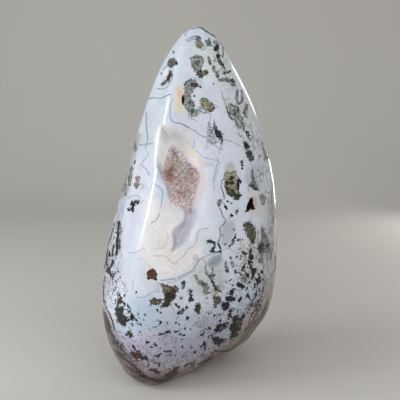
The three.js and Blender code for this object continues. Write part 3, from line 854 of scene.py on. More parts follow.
# Short dark dashes and threads: colour, width and the line they follow.
STROKES = {
    "slate": [
        (1, "218,242 218.7,245.5 220.3,248.5 221.4,253"),
        (0.9, "212,251 216,252.3 219.5,251.5"),
        (1.5, "154.3,343 155.5,344.7 157,346"),
        (1.3, "150.5,347.3 154,347.3"),
        (1.3, "258.5,274 260,277 260.3,280.5"),
        (2.2, "118.8,222 118.5,229 117.8,237 117,243 117.3,249 116.5,254"),
        (1.4, "113.8,245 112.8,250 112.5,256"),
        (1.8, "112.8,260 112.5,264 110,268"),
        (1.2, "129.2,175 128.8,181"),
    ],
    "grey": [
        (0.8, "199,27 204,29.5 209,33 217,37.5"),
        (1, "208.7,38 209.8,42 211,46"),
        (1, "222.5,48 223.3,52 222.5,57"),
        (1.3, "226.5,107 228,112 230,117 233,119.5"),
        (1.6, "184.6,85 186.5,82.7 189.5,80.2"),
        (0.9, "166,355 170,355.6 175,356.3"),
        (1.3, "121,343.5 123.5,345.5"),
        (1, "154,363 158.5,363.5"),
        (1, "114.5,223 112.5,231 110,239"),
        (1.8, "119.3,239 119.5,248"),
        (1.2, "126.5,171 126.1,177 124,183.5 122.5,191"),
        (1.2, "134.9,139 135,145 133.7,149"),
        (1.1, "109,332 112,336.5 117,341 122,346 127,350"),
        (1, "115,345 120,351 126,356 134,361"),
    ],
    "coal": [
        (1.7, "159,335 161,333.5 164.5,333.5 168.5,330.7"),
        (1.2, "169,331 170,333.8"),
        (1.4, "174.5,331.8 177,332 178.8,330.8"),
        (1.5, "180,334.8 184.3,335"),
        (1.3, "164.5,351.2 168,351 171.5,351.2"),
        (1.4, "160.5,353.6 158.5,355.5 158.3,357.5"),
        (1.3, "109,240 107.5,246 106.8,253 106.8,260 106.3,265"),
    ],
    "umber": [
        (1.6, "201.3,335.5 204,333"),
        (1.5, "200.5,347 203,344.7 205,342 205,349"),
    ],
    "brown": [
        (1.3, "132.5,344.5 134.5,348 136,350.5 139.5,351.5"),
        (1.2, "185,366 190,363.7 193,363.5 194.7,360.5"),
        (1, "193,363.5 193.3,366.5"),
        (1, "104.5,301 106,307 108.5,312 111,318 113.5,324 114.5,330"),
        (0.9, "103.8,286 103.4,294 103.6,302"),
        (1.2, "140,376 150,379 162,379.5 172,377"),
        (1.4, "215,350.5 219,351.5 224,351 230,350.5"),
        (1, "228,352 240,342 250,330 258,318"),
        (0.9, "240,346 252,332 262,315 268,300"),
        (0.8, "222,357 236,349 247,338"),
        (0.8, "256,330 264,317 271,303"),
        (1.2, "106,318 110,330 116,340 122,348"),
        (1, "112,338 118,346 126,353"),
        (1.1, "118,352 126,360 136,367"),
        (1, "126,366 136,372 148,377"),
        (0.8, "208,362 222,357 236,349 246,340 256,328"),
        (0.7, "212,368 226,362 240,353 252,342"),
        (0.9, "232,352 243,344 253,333 260,322 266,308"),
        (0.7, "244,332 252,322 258,311 262,300"),
        (0.7, "250,318 256,308 261,296 265,284"),
        (0.8, "198,368 210,364 220,360"),
    ],
    "pale": [
        (1.2, "120.8,224 121,234"),
        (2.2, "237.5,90 237,95 236.7,100 238.3,103.6 241,103 242.3,100 242.3,95 241.7,90.5"),
        (2.8, "131.8,168 130.7,174 130.3,180 129.5,184.5"),
        (1.4, "125.5,184 125.3,189 125.5,195"),
    ],
    "ink": [(1.7, "109.3,252 109.6,256")],
    "steel": [
        (1, "136.5,147 135.4,151.5"),
        (1.5, "135.5,160.5 134.2,163.5"),
    ],
}
# Thin grey lines and cracks: strength and the line they follow.
VEINS = [
    (0.7, "185,36 186.5,31 189,29 195,28.5 200,27 204,29.5 209,33 216,37 221,44"),
    (0.7, "186.5,41.5 187,39 191,37.5 195,36 199,36.5 200.5,38.5"),
    (0.6, "187,42 190,41 193,39 196,40"),
    (0.55, "203,44 205,46 206,48 202,50"),
    (0.65, "163,70 164.5,67.5 167,66.3 168.3,65"),
    (0.6, "172.5,73 172.5,78 169.5,83 167,87 163.5,89 160,89 157.5,88.5"),
    (0.4, "172,67 173.5,69.5 172.5,73"),
    (0.35, "190.5,79 193,77.8 197,78.3 200.5,81.5 201.3,86 200.3,89"),
    (0.5, "189,118.5 193,119 196.5,121.5"),
    (0.5, "188.5,113 188.5,117.5"),
    (0.45, "210.7,112.5 210.5,116 210,120 209,124"),
    (0.6, "221.5,91.5 222.5,96 224,100.5 225.5,104 227,107"),
    (0.5, "224,100 226,99 229,98.5 230,99.5"),
    (0.4, "215,105 218,107 219,109.5"),
    (0.5, "209,124 209.3,128 208.3,133 207.2,138 206.8,143 206.5,149"),
    (0.45, "207,137 210,141 211.5,144 216,146 220,147.5 222.5,150"),
    (0.45, "222.7,143 222.3,147 221.5,150"),
    (0.4, "218,148 219.5,151 219,154"),
    (0.8, "170.5,94 168,95 165,96.5 161,98.3 157.5,98 153,97.8 149,98.7"),
    (0.75, "146,112 146.3,118 145.8,121 146.7,126 146.5,130 147.3,133 147.7,139"),
    (0.6, "147.7,139 146.8,143 145.8,147 145.2,149"),
    (0.4, "148,152 148.3,155 146.5,157.5 143.5,160.5 142.3,164"),
    (0.55, "141,165 143,166.5 146,169 148,172 149,175"),
    (0.6, "139,145 142,144.8 146,144.3 152.5,143.3"),
    (0.55, "173,98 171,104 170.3,109 170,116 171.5,120 174,122.3"),
    (0.85, "174,122.3 178,123 182,124 185.5,126 188.5,127.4"),
    (0.6, "188.5,127.4 192,129.5 196,131.5 198.5,134.3 202,136 207,138"),
    (0.5, "223,139.5 228,140.3 232,141.8 236,143.8 240,146"),
    (0.45, "194.5,140 194,144 193.3,149"),
    (0.45, "195.5,151 199,153 203,157 210,159 218,160.5"),
    (0.5, "219,162 216.5,166 215.8,172 214,178 213.6,183 214.3,189"),
    (0.95, "225,177 222,181 221.2,185 222.4,190 223.6,194.5 224.8,198.3"),
    (0.7, "225,198.5 222,200 219.5,199.5 217.8,201.5 217.8,205 219.5,208"),
    (0.95, "219.5,208 221.3,211 222,214.5 224,218 225.8,220"),
    (0.9, "225.8,220 224,224 221,226 219.8,228.5 220,231 220.8,234.5"),
    (0.95, "220.8,234.5 219.5,238 218.5,241 218,243.5 219.8,246 220.6,250 221,253"),
    (0.5, "243.3,227 244,223.5 246.5,222 249,222.5"),
    (0.45, "248.5,186 248,189.5 250,193"),
    (0.55, "240.3,240 240.4,245"),
    (0.6, "220.8,251 215.7,252.5 207.4,255.5 201,258.7 197.2,263 194,267.6 191.2,270.8 182.3,275.3 "
        "177,277.5 167.6,279.7 161,280.4"),
    (0.35, "196,270 190,273.5 184,277 176,281 168,283.5"),
    (0.42, "154.8,256 163.8,255.8 167.6,258 170.8,261.9 175.3,264.4 177.2,261.2 182.9,256.8 185.5,252.3 "
        "189.3,248.5 194.4,245.3 196.6,240.8 197.2,234.4 199.8,230 204,228.4 208,228.4"),
    (0.28, "163.8,230.6 167.6,233.8 167.6,240.8 163.8,247 156.8,249"),
    (0.35, "129.3,252.3 134.4,253 140.8,249.7 144,248.5"),
    (0.55, "153,183 157,185.5 161,189 162.5,193 161.8,200 161.2,206 159.3,214 156,220 151,223"),
    (0.4, "224.5,249.5 229,248.5 232,250.5 235.5,253.5"),
    (0.5, "204,260 206,264 205.3,268"),
    (0.45, "172,303 172,307 174,311 174.8,315"),
    (0.4, "157,281 157.5,285 159.5,290 158,293"),
    (0.35, "125.5,281 126,287 127,290 126,293"),
    (0.35, "132,281 133,284 132.5,289"),
    (0.45, "137,297.5 143,297.5 148,295 153,292 158,290.5"),
    (0.5, "203,317.5 204.5,320 203.5,323.5"),
    (0.45, "197,322 201,321 200.3,327 196.5,325.5 197,322"),
    (0.45, "217.3,311 217.2,320"),
    (0.45, "206.3,316 207,319 209,314 212,311"),
    (0.4, "165.5,334.5 164.5,338 162.5,341"),
    (0.5, "128,198 131,196.5 135,195.3 138,196 140,199"),
    (0.45, "141,203 142.5,201 143.5,200.5"),
    (0.4, "140.5,183.5 142.5,184.5 143,187 141,189"),
    (0.1, "168,206 172,207.5 174.5,211 174,215.5 170.5,218.5 166,218 163.5,214.5 164,209.5 168,206"),
    (0.08, "168,202.5 174,204.5 178,209 177.5,217 172,222 165,221.5 160.5,217 160.5,209 164,204 168,202.5"),
    (0.16, "140,258 146,262 152,270 160,274 170,272"),
    (0.14, "143,230 150,228 157,232 160,240 157,247 150,250"),
    (0.2, "178,238 184,243 188,238 190,230"),
    (0.45, "194,256.5 196,255 197.5,257.5 195.5,259.5 193.5,258.5"),
]
# Where fine dark specks are, and how dense: density and outline.
SPECKS = [
    (0.95, "92,296 118,300 150,318 186,312 210,305 240,275 300,270 300,420 92,420"),
    (0.35, "196,300 206,262 226,256 238,205 256,222 300,240 300,300"),
    (0.7, "240,246 262,248 264,292 252,314 238,312 240,284 236,262"),
    (0.55, "200,30 222,36 238,66 236,86 206,80 190,70 196,50"),
]
# Where fine dark moss makes a net: density and outline.
NETS = [
    (0.75, "238,249 256,242 260,262 258,290 246,296 238,284"),
    (0.6, "205,286 240,276 266,280 262,310 245,345 210,350 200,330 206,305"),
    (0.25, "246,95 262,130 285,190 285,300 262,250 254,200 250,150"),
    (0.2, "212,38 232,62 244,92 228,96 214,72 206,50"),
    (0.25, "228,95 246,94 256,130 262,168 250,168 238,140"),
    (0.55, "98,258 118,262 128,290 118,306 100,300"),
    (0.4, "100,226 118,222 118,262 98,262"),
    (0.4, "108,322 130,340 160,356 200,350 240,334 262,310 285,300 285,400 120,400 92,350"),
    (0.15, "190,262 232,262 238,290 205,300"),
]
# Where the stone is clear of nets, specks and streaks: strength and outline.
CLEARINGS = [
    (0.9, "252,190 264,190 270,205 268,226 254,226 249,214"),
    (0.5, "205,120 222,112 236,135 232,165 216,160 206,140"),
    (0.35, "206,284 240,282 262,286 250,318 238,340 206,336"),
]
# Where the polish is dull: strength and outline.
DULL = [
    (1, "182,142 200,148 209,162 206,200 196,208 190,190 188,165"),
    (0.6, "156,124 168,122 176,132 170,160 163,174 156,165"),
]
# Where the stone is drawn out into soft grey streaks that run up it: strength and outline.
STREAKS = [
    (0.5, "246,96 262,130 285,190 262,192 254,190 256,180 247,150"),
    (1, "256,190 285,190 285,300 262,300 258,250 250,218"),
    (0.8, "95,215 122,160 131,160 124,200 122,262 112,290 95,300"),
    (0.8, "210,345 240,334 262,305 285,290 285,400 120,400 92,340 100,332 150,366"),
]


def photo_places(points):
    """Where points in millimetres show in the photograph, in pixels."""
    offset = points - CAMERA
    depth = offset @ CAMERA_AHEAD
    across = PHOTO_SIDE / 2 + FOCAL_PIXELS * (offset @ CAMERA_RIGHT) / depth
    down = PHOTO_SIDE / 2 - FOCAL_PIXELS * (offset @ CAMERA_UP) / depth
    return across, down


# The fields that outlines fill, how soft the outlines' edges are, in pixels, and the outlines.
FILLED = [("specks", 6, SPECKS), ("nets", 7, NETS), ("streaks", 4, STREAKS), ("dull", 3, DULL)]
CLEARED = ("specks", "nets", "streaks")
CLEARING_SOFTNESS = 4
LAYERS = ("patch", "core")
FIELDS = ("vein_strength", "specks", "nets", "streaks", "dull")
LINE_STEPS = 3
# How far from a mark's edge and from a vein their distances are worked out, in millimetres.
MARK_REACH = 4
VEIN_REACH = 2.2
# How far past its end a vein fades, in pixels.
VEIN_FADE = 1.5
# How directly a point faces the camera where the front's marks start to show, and where they show in full.
SHOWN = (0, 0.12)


class Marks:
    """The fields that the stone's material reads, worked out for each point of its mesh."""

    def __init__(self, points, normals):
        count = len(points)
        self.points = points
        self.normals = normals
        self.across, self.down = photo_places(points)
        to_camera = CAMERA - points
        self.facing = (normals * to_camera).sum(axis=1) / np.linalg.norm(to_camera, axis=1)
        self.shown = smooth(self.facing, *SHOWN)
        self.tint = np.tile(linear("milk"), (count, 1))
        self.layers = {layer: np.full(count, -float(MARK_REACH)) for layer in LAYERS}
        self.colours = {layer: np.tile(linear("grey"), (count, 1)) for layer in LAYERS}
        self.vein = np.full(count, VEIN_REACH)
        self.fields = {field: np.zeros(count) for field in FIELDS}

    def near(self, outline, margin):
        """The points that show near an outline."""
        low, high = outline.min(axis=0) - margin, outline.max(axis=0) + margin
        across = (self.across > low[0]) & (self.across < high[0])
        return np.flatnonzero(across & (self.down > low[1]) & (self.down < high[1]) & (self.shown > 0))

    def coverage(self, text, softness):
        """Which points a soft-edged outline covers, and how much."""
        outline = traced(text)
        picked = self.near(outline, softness)
        inside = inside_outline(self.across[picked], self.down[picked], outline)
        return picked, smooth(inside, -softness, softness) * self.shown[picked]

    def wash(self, colour, softness, strength, text):
        picked, cover = self.coverage(text, softness)
        self.tint[picked] = blended(self.tint[picked], linear(colour), cover * strength)

    def band(self, colour, width, softness, strength, text):
        line = catmull_rom(traced(text), LINE_STEPS)
        picked = self.near(line, width / 2 + softness)
        sided, beyond = self.along(line, picked)
        cover = smooth(width / 2 - np.abs(sided), -softness, softness) * (1 - smooth(beyond, 0, softness))
        self.tint[picked] = blended(self.tint[picked], linear(colour), cover * strength * self.shown[picked])

    def fill(self, field, softness, strength, text):
        """Raises a field to a strength inside a soft-edged outline."""
        picked, cover = self.coverage(text, softness)
        self.fields[field][picked] = np.maximum(self.fields[field][picked], strength * cover)

    def clear(self, strength, text):
        """Takes a share of the specks, nets and streaks away inside an outline."""
        picked, cover = self.coverage(text, CLEARING_SOFTNESS)
        for field in CLEARED:
            self.fields[field][picked] *= 1 - strength * cover

    def lay(self, layer, colour, picked, depth, lost=0):
        """Lays a mark whose edge is where depth, in millimetres, less what is lost, passes 0."""
        depth = np.clip(depth, -MARK_REACH, MARK_REACH) - lost
        wins = depth > self.layers[layer][picked]
        self.layers[layer][picked[wins]] = depth[wins]
        self.colours[layer][picked[wins]] = linear(colour)

    def lay_in_front(self, layer, colour, picked, depth):
        """Lays a mark whose depth is in pixels, and which ends where the stone turns away."""
        self.lay(layer, colour, picked, depth * PIXEL, (1 - self.shown[picked]) * MARK_REACH)

    def patch(self, layer, colour, text):
        outline = traced(text)
        picked = self.near(outline, MARK_REACH / PIXEL)
        inside = inside_outline(self.across[picked], self.down[picked], outline)
        self.lay_in_front(layer, colour, picked, inside)

    def grain(self, colour, x, y, radius):
        picked = self.near(np.array([[x, y]]), MARK_REACH / PIXEL)
        away = np.hypot(self.across[picked] - x, self.down[picked] - y)
        self.lay_in_front("core", colour, picked, radius - away)

    def stroke(self, colour, width, text):
        line = catmull_rom(traced(text), LINE_STEPS)
        picked = self.near(line, MARK_REACH / PIXEL)
        sided, _ = self.along(line, picked)
        self.lay_in_front("core", colour, picked, width / 2 - np.abs(sided))

    def along(self, line, picked):
        """Distance to a line in pixels, with its side as the sign, and how far past the line's ends."""
        x, y = self.across[picked], self.down[picked]
        nearest = np.full(len(picked), np.inf)
        sided = np.full(len(picked), np.inf)
        beyond = np.zeros(len(picked))
        for i, (a, b) in enumerate(zip(line[:-1], line[1:])):
            dx, dy = b - a
            share, away = from_segment(x, y, a, b)
            side = np.sign((x - a[0]) * dy - (y - a[1]) * dx)
            closer = away < nearest
            nearest = np.where(closer, away, nearest)
            sided = np.where(closer, away * side, sided)
            past = np.zeros(len(picked))
            if i == 0:
                past = np.maximum(past, -share * math.hypot(dx, dy))
            if i == len(line) - 2:
                past = np.maximum(past, (share - 1) * math.hypot(dx, dy))
            beyond = np.where(closer, past, beyond)
        return sided, beyond

    def thread(self, strength, text):
        """Lays a thin vein, which wins where it is the nearest."""
        line = catmull_rom(traced(text), LINE_STEPS)
        picked = self.near(line, VEIN_REACH / PIXEL)
        sided, beyond = self.along(line, picked)
        wins = np.abs(sided) * PIXEL < np.abs(self.vein[picked])
        fade = (1 - smooth(beyond, 0, VEIN_FADE)) * self.shown[picked]
        self.vein[picked[wins]] = (sided * PIXEL)[wins]
        self.fields["vein_strength"][picked[wins]] = (strength * fade)[wins]


# ---------- marks on the sides and back ----------
WILD_PATCHES = 700
# The colours of scattered moss, and how large a share of the patches has each.
WILD_COLOURS = {
    "ink": 0.08, "slate": 0.09, "forest": 0.06, "moss": 0.08, "olive": 0.08, "khaki": 0.09,
    "grey": 0.18, "pale": 0.18, "brown": 0.06, "umber": 0.03, "haze": 0.07,
}
# How directly the middle of a scattered patch may face the camera, and how much more so the rest of it may.
WILD_HIDDEN, WILD_OVERLAP = 0.1, 0.15
# The radius of the smallest patch, what the largest has on top, how rare large ones are, and the radius
# under which a patch is a core.
WILD_SIZES, WILD_CORE = (0.5, 5.2, 7), 1.3
WILD_REACH = 16
# How far patches lean off upright, in radians, how much longer than wide they may be, and their lobes: how
# many round a patch, and how deep.
WILD_LEAN, WILD_STRETCH = 0.5, 1.6
WILD_LOBES = ((2, 0.25), (3, 0.25), (5, 0.18))
TINY = 1e-9
# How likely a patch is anywhere, and what being low down and being on the right add.
WILD_CHANCE, WILD_LOW_DOWN, WILD_RIGHTWARD = 0.12, 0.6, 0.5
LOW_DOWN = (150, 70)
RIGHTWARD = (-20, 45)
# The clear milky heart of the back: its middle and its reach, across and up, and how clear it is.
HEART, HEART_REACH, HEART_CLEAR = (-8, 128), (26, 34), 0.92
# Thin rings round the heart: radius and strength. Then their middle, how much wider than tall they are, and
# their waves across and up: height, length and start.
BACK_RINGS = [(10, 0.3), (17, 0.5), (19.5, 0.25), (26, 0.6)]
RING_MIDDLE, RING_SQUASH = (-8, 122), 0.65
RING_WAVES = ((1.6, 4.1, 0), (1.3, 5.3, 1))
# Broad washes of the back and sides: colour, strength and where. "round" is followed by an axis, a middle and
# a reach along it, and "from" by an axis, where the wash starts and where it is full.
BACK_WASHES = [
    ("frost", 1, ("round", "x", -15, 18), ("from", "z", 120, 180)),
    ("lavender", 1, ("round", "x", -30, 20), ("round", "z", 110, 50)),
    ("fog", 1, ("from", "x", 5, 45)),
    ("cream", 1, ("round", "x", -8, 24), ("round", "z", 122, 30), ("from", "y", 0, 20)),
    ("butter", 1, ("round", "x", -6, 12), ("round", "z", 118, 15), ("from", "y", 0, 20)),
    # Towards the foot these washes darken and brown the back: partly the stone's own tone, partly painted
    # shade and painted light bounced up from below.
    ("dusk", 1, ("from", "z", 75, 30)),
    ("tan", 1, ("from", "x", 18, 45), ("from", "z", 85, 45)),
    ("bark", 0.8, ("from", "x", 22, 40), ("from", "z", 26, 8)),
    ("plum", 0.7, ("from", "x", -28, -42), ("from", "z", 60, 20)),
    ("sage", 1, ("round", "x", 30, 16), ("round", "z", 80, 25), ("from", "y", 0, 20)),
    ("ash", 1, ("from", "x", 44, 62), ("from", "z", 60, 90)),
]
BACK_STRENGTH = 0.85
# The back's specks, streaks and nets, each the sum of parts that are written in the same way.
BACK_FIELDS = {
    "specks": [(0.75, ("from", "z", 110, 55)), (0.35, ("from", "x", 10, 50))],
    "streaks": [(1, ("from", "x", 25, 55), ("from", "z", 40, 80))],
    "nets": [(0.25,), (0.4, ("from", "x", 10, 50)), (0.3, ("from", "z", 90, 30))],
}
# How directly a point faces the camera where the back's washes are full, and where they end.
BACK_FADE = (-0.05, 0.3)


def lying(places, strength, *parts):
    """How strongly a wash of the back lies on each point."""
    share = np.full(len(places["x"]), float(strength))
    for kind, axis, first, second in parts:
        if kind == "round":
            share *= bell((places[axis] - first) / second)
        else:
            share *= smooth(places[axis], first, second)
    return share


def ring_the_back(marks):
    x, y, z = marks.points.T
    away = np.hypot(x - RING_MIDDLE[0], (z - RING_MIDDLE[1]) * RING_SQUASH)
    for place, (height, length, start) in zip((x, z), RING_WAVES):
        away = away + height * np.sin(place / length + start)
    for radius, strength in BACK_RINGS:
        sided = away - radius
        wins = (np.abs(sided) < np.abs(marks.vein)) & (marks.facing < WILD_HIDDEN) & (y > 0)
        marks.vein[wins] = sided[wins]
        marks.fields["vein_strength"][wins] = strength


def wash_the_back(marks):
    """Gives the back and sides their own broad washes, which meet the front's at the outline."""
    places = dict(zip("xyz", marks.points.T))
    hidden = 1 - smooth(marks.facing, *BACK_FADE)
    tint = np.tile(linear("milk"), (len(hidden), 1))
    for colour, *wash in BACK_WASHES:
        tint = blended(tint, linear(colour), lying(places, *wash) * BACK_STRENGTH)
    marks.tint = blended(marks.tint, tint, hidden)
    for field, parts in BACK_FIELDS.items():
        level = sum(lying(places, *part) for part in parts)
        marks.fields[field] = np.maximum(marks.fields[field], hidden * level)


def wild_chance(marks, hidden, areas):
    """How likely a patch is at each hidden point: most low down and towards the right."""
    x, y, z = marks.points[hidden].T
    in_heart = bell((x - HEART[0]) / HEART_REACH[0]) * bell((z - HEART[1]) / HEART_REACH[1]) * (y > 0)
    chance = WILD_CHANCE + WILD_LOW_DOWN * smooth(z, *LOW_DOWN) + WILD_RIGHTWARD * smooth(x, *RIGHTWARD)
    chance = chance * (1 - HEART_CLEAR * in_heart) * areas[hidden]
    return chance / chance.sum()


def scatter_patch(marks, centre, random):
    """One patch of moss with lobes, on the surface round a point."""
    normal = marks.normals[centre]
    offset = marks.points - marks.points[centre]
    picked = np.flatnonzero((offset * offset).sum(axis=1) < WILD_REACH**2)
    beside = (marks.normals[picked] @ normal) > 0
    picked = picked[beside & (marks.facing[picked] < WILD_HIDDEN + WILD_OVERLAP)]
    upward = np.array([0, 0, 1]) - normal * normal[2]
    upward /= np.linalg.norm(upward) + TINY
    sideways = np.cross(upward, normal)
    smallest, more, rarity = WILD_SIZES
    size = smallest + more * random.random() ** rarity
    lean = random.normal(0, WILD_LEAN)
    longer = 1 + WILD_STRETCH * random.random()
    along = offset[picked] @ (upward * math.cos(lean) + sideways * math.sin(lean))
    across = offset[picked] @ (sideways * math.cos(lean) - upward * math.sin(lean))
    round_it = np.arctan2(along, across)
    lobes = 1
    for count, depth in WILD_LOBES:
        lobes = lobes + depth * np.sin(count * round_it + random.random() * 2 * np.pi)
    colour = random.choice(list(WILD_COLOURS), p=list(WILD_COLOURS.values()))
    layer = "core" if size < WILD_CORE else "patch"
    marks.lay(layer, colour, picked, size * lobes - np.hypot(along / longer, across))


def scatter_patches(marks, areas, random):
    """Scatters moss over what the camera doesn't see, larger patches with smaller ones on and round them."""
    hidden = np.flatnonzero(marks.facing < WILD_HIDDEN)
    for centre in random.choice(hidden, WILD_PATCHES, p=wild_chance(marks, hidden, areas)):
        scatter_patch(marks, centre, random)


def colour_the_front(marks):
    for wash in WASHES:
        marks.wash(*wash)
    for moss, colour, softness, strength in BEDS:
        for outline in PATCHES[moss]:
            marks.wash(colour, softness, strength, outline)
    for band in BANDS:
        marks.band(*band)


def mark_the_front(marks):
    for layer, table in zip(LAYERS, (PATCHES, CORES)):
        for colour, outlines in table.items():
            for outline in outlines:
                marks.patch(layer, colour, outline)
    for colour, grains in GRAINS.items():
        for grain in traced(grains):
            marks.grain(colour, *grain)
    for colour, strokes in STROKES.items():
        for stroke in strokes:
            marks.stroke(colour, *stroke)
    for vein in VEINS:
        marks.thread(*vein)
    for field, softness, table in FILLED:
        for outline in table:
            marks.fill(field, softness, *outline)
    for clearing in CLEARINGS:
        marks.clear(*clearing)


def work_out_marks(points, normals, areas):
    marks = Marks(points, normals)
    colour_the_front(marks)
    mark_the_front(marks)
    wash_the_back(marks)
    ring_the_back(marks)
    scatter_patches(marks, areas, np.random.default_rng(SEED))
    return marks


# How wide the stone is taken to be where its grain is unrolled: the radius in millimetres.
FLOW_RADIUS = 45


def flow_places(points):
    """The place of points along the stone's own grain: round it, as two numbers, and up it."""
    z = np.clip(points[:, 2], 0, HEIGHT)
    fall = fall_at(z)
    angle = np.arctan2(points[:, 0] - (LEFT(fall) + RIGHT(fall)) / 2, -points[:, 1])
    half_widths = (RIGHT(fall_at(LEVELS)) - LEFT(fall_at(LEVELS))) / 2
    climb = np.concatenate([[0], np.cumsum(np.hypot(1, np.diff(half_widths)))])
    up = np.interp(z, LEVELS, climb)
    return np.stack([FLOW_RADIUS * np.sin(angle), FLOW_RADIUS * np.cos(angle), up], axis=-1)


def store(mesh, name, values, kind="FLOAT", key="value"):
    """Keeps one or more numbers for each point of a mesh, for its material to read."""
    attribute = mesh.attributes.new(name, kind, "POINT")
    attribute.data.foreach_set(key, values.ravel().astype(np.float32))


def store_colours(mesh, name, colours):
    solid = np.concatenate([colours, np.ones((len(colours), 1))], axis=1)
    store(mesh, name, solid, "FLOAT_COLOR", "color")


# ---------- materials ----------
NOISE_MIDDLE = 0.5
# The detail and roughness of the noise whose middle level makes lines, and how twisted they are.
LINE_NOISE, LINE_TWIST = (3, 0.6), 0.5
# The densities between which marks of a field come in.
THIN_FIELD = (0.05, 0.3)


class Nodes:
    """Builds a material's nodes. A value is a number, a colour's name or another node's output."""

    def __init__(self, name):
        self.material = bpy.data.materials.new(name)
        self.material.use_nodes = True
        self.tree = self.material.node_tree
        self.shader = self.tree.nodes["Principled BSDF"]
        spot = self.add("ShaderNodeTexCoord").outputs["Object"]
        self.spot = self.shade(spot, 1 / MM)

    def add(self, kind, **settings):
        node = self.tree.nodes.new(kind)
        for key, value in settings.items():
            setattr(node, key, value)
        return node

    def put(self, socket, value):
        if isinstance(value, bpy.types.NodeSocket):
            self.tree.links.new(value, socket)
        elif isinstance(value, str):
            socket.default_value = (*linear(value), 1)
        else:
            socket.default_value = value

    def math(self, operation, *values):
        node = self.add("ShaderNodeMath", operation=operation)
        for socket, value in zip(node.inputs, values):
            self.put(socket, value)
        return node.outputs[0]

    def plus(self, value, more):
        return self.math("ADD", value, more)

    def minus(self, value, less):
        return self.math("SUBTRACT", value, less)

    def times(self, value, other):
        return self.math("MULTIPLY", value, other)

    def off(self, value, middle):
        """How far a value is from a middle, on either side."""
        return self.math("ABSOLUTE", self.minus(value, middle))

    def swing(self, noise):
        """Noise that swings round 0."""
        return self.minus(noise, NOISE_MIDDLE)

    def rising(self, value, slope, start):
        """start where value is 0, and slope more where it is 1."""
        return self.math("MULTIPLY_ADD", value, slope, start)

    def ramp(self, value, low, high, start=0, end=1):
        """start where value is low, end where it is high, smooth between."""
        node = self.add("ShaderNodeMapRange", interpolation_type="SMOOTHSTEP")
        for socket, number in zip(node.inputs, (value, low, high, start, end)):
            self.put(socket, number)
        return node.outputs[0]

    def mix(self, share, under, over):
        node = self.add("ShaderNodeMix", data_type="RGBA")
        self.put(node.inputs["Factor"], share)
        self.put(node.inputs["A"], under)
        self.put(node.inputs["B"], over)
        return node.outputs["Result"]

    def shade(self, colour, level):
        """A colour made lighter or darker by a level round 1, or a place made longer."""
        node = self.add("ShaderNodeVectorMath", operation="SCALE")
        self.put(node.inputs[0], colour)
        self.put(node.inputs["Scale"], level)
        return node.outputs[0]

    def kept(self, name, output="Fac"):
        return self.add("ShaderNodeAttribute", attribute_name=name).outputs[output]

    def drawn_out(self, round_it, up):
        """The place along the stone's grain, drawn out round it and up it."""
        node = self.add("ShaderNodeMapping")
        self.put(node.inputs["Vector"], self.kept("flow", "Vector"))
        node.inputs["Scale"].default_value = (1 / round_it, 1 / round_it, 1 / up)
        return node.outputs[0]

    def noise(self, size, detail=2, roughness=0.5, place=None, twist=0):
        """Smooth noise from about 0 to 1 whose lumps are size millimetres across."""
        node = self.add("ShaderNodeTexNoise")
        self.put(node.inputs["Vector"], place or self.spot)
        node.inputs["Scale"].default_value = 1 / size
        node.inputs["Detail"].default_value = detail
        node.inputs["Roughness"].default_value = roughness
        node.inputs["Distortion"].default_value = twist
        return node.outputs["Fac"]

    def cells(self, size):
        """Another random level in each small cell, size millimetres across."""
        node = self.add("ShaderNodeTexVoronoi")
        self.put(node.inputs["Vector"], self.spot)
        node.inputs["Scale"].default_value = 1 / size
        return node.outputs["Color"]

    def line(self, size, width):
        """1 on thin wandering lines about size millimetres apart."""
        off = self.off(self.noise(size, *LINE_NOISE, twist=LINE_TWIST), NOISE_MIDDLE)
        return self.ramp(off, width / 2, width * 2, 1, 0)

    def above(self, field, density, rare, spread, softness):
        """1 where a field is over a level that falls from rare by spread as density rises from 0 to 1."""
        share = self.ramp(self.minus(field, self.rising(density, -spread, rare)), 0, softness)
        return self.times(share, self.ramp(density, *THIN_FIELD))

    def bump(self, height, distance):
        node = self.add("ShaderNodeBump")
        self.put(node.inputs["Height"], height)
        node.inputs["Distance"].default_value = distance * MM
        node.inputs["Strength"].default_value = 1
        self.tree.links.new(node.outputs[0], self.shader.inputs["Normal"])

    def finish(self, colour, roughness):
        self.put(self.shader.inputs["Base Color"], colour)
        self.put(self.shader.inputs["Roughness"], roughness)
        return self.material


# The numbers of each mark in the jasper: sizes in millimetres, the levels of noise between which it comes in,
# and how strong it is. SHADES are how dark and how light it makes a colour.
CLOUD_SIZE, CLOUD_SHADES = 9, (0.96, 1.04)
FINE_CLOUD_SIZE, FINE_CLOUD_SHADES = 2.2, (-0.03, 0.03)
CLOUD_LEVELS, CLOUD_DETAIL = (0.3, 0.7), 3
CRACKLE_SIZE, CRACKLE_WIDTH = 7, 0.012
CRACKLE_STRENGTH, CRACKLE_IN_NETS = 0.06, 0.5
# Streaks: size, levels and colour. They are drawn out along the grain, and in the foot across it.
STREAK_KINDS = ((1.5, (0.46, 0.62), "loam"), (0.9, (0.57, 0.66), "slate"))
STREAK_NOISE, STREAK_TWIST, STREAK_STRENGTH = (3, 0.6), 0.4, 0.7
STREAK_WIDTH, STREAK_LENGTH = 1.2, 6
# Veins: how far off their line they wander, their edge, and how they fade here and there.
VEIN_WANDER, WANDER_SIZE = 0.7, 1.2
VEIN_EDGE = (0.16, 0.62)
VEIN_FADING, FADING_SIZE, FADING_LEVELS = (0.6, 1.1), 1.7, (0.3, 0.6)
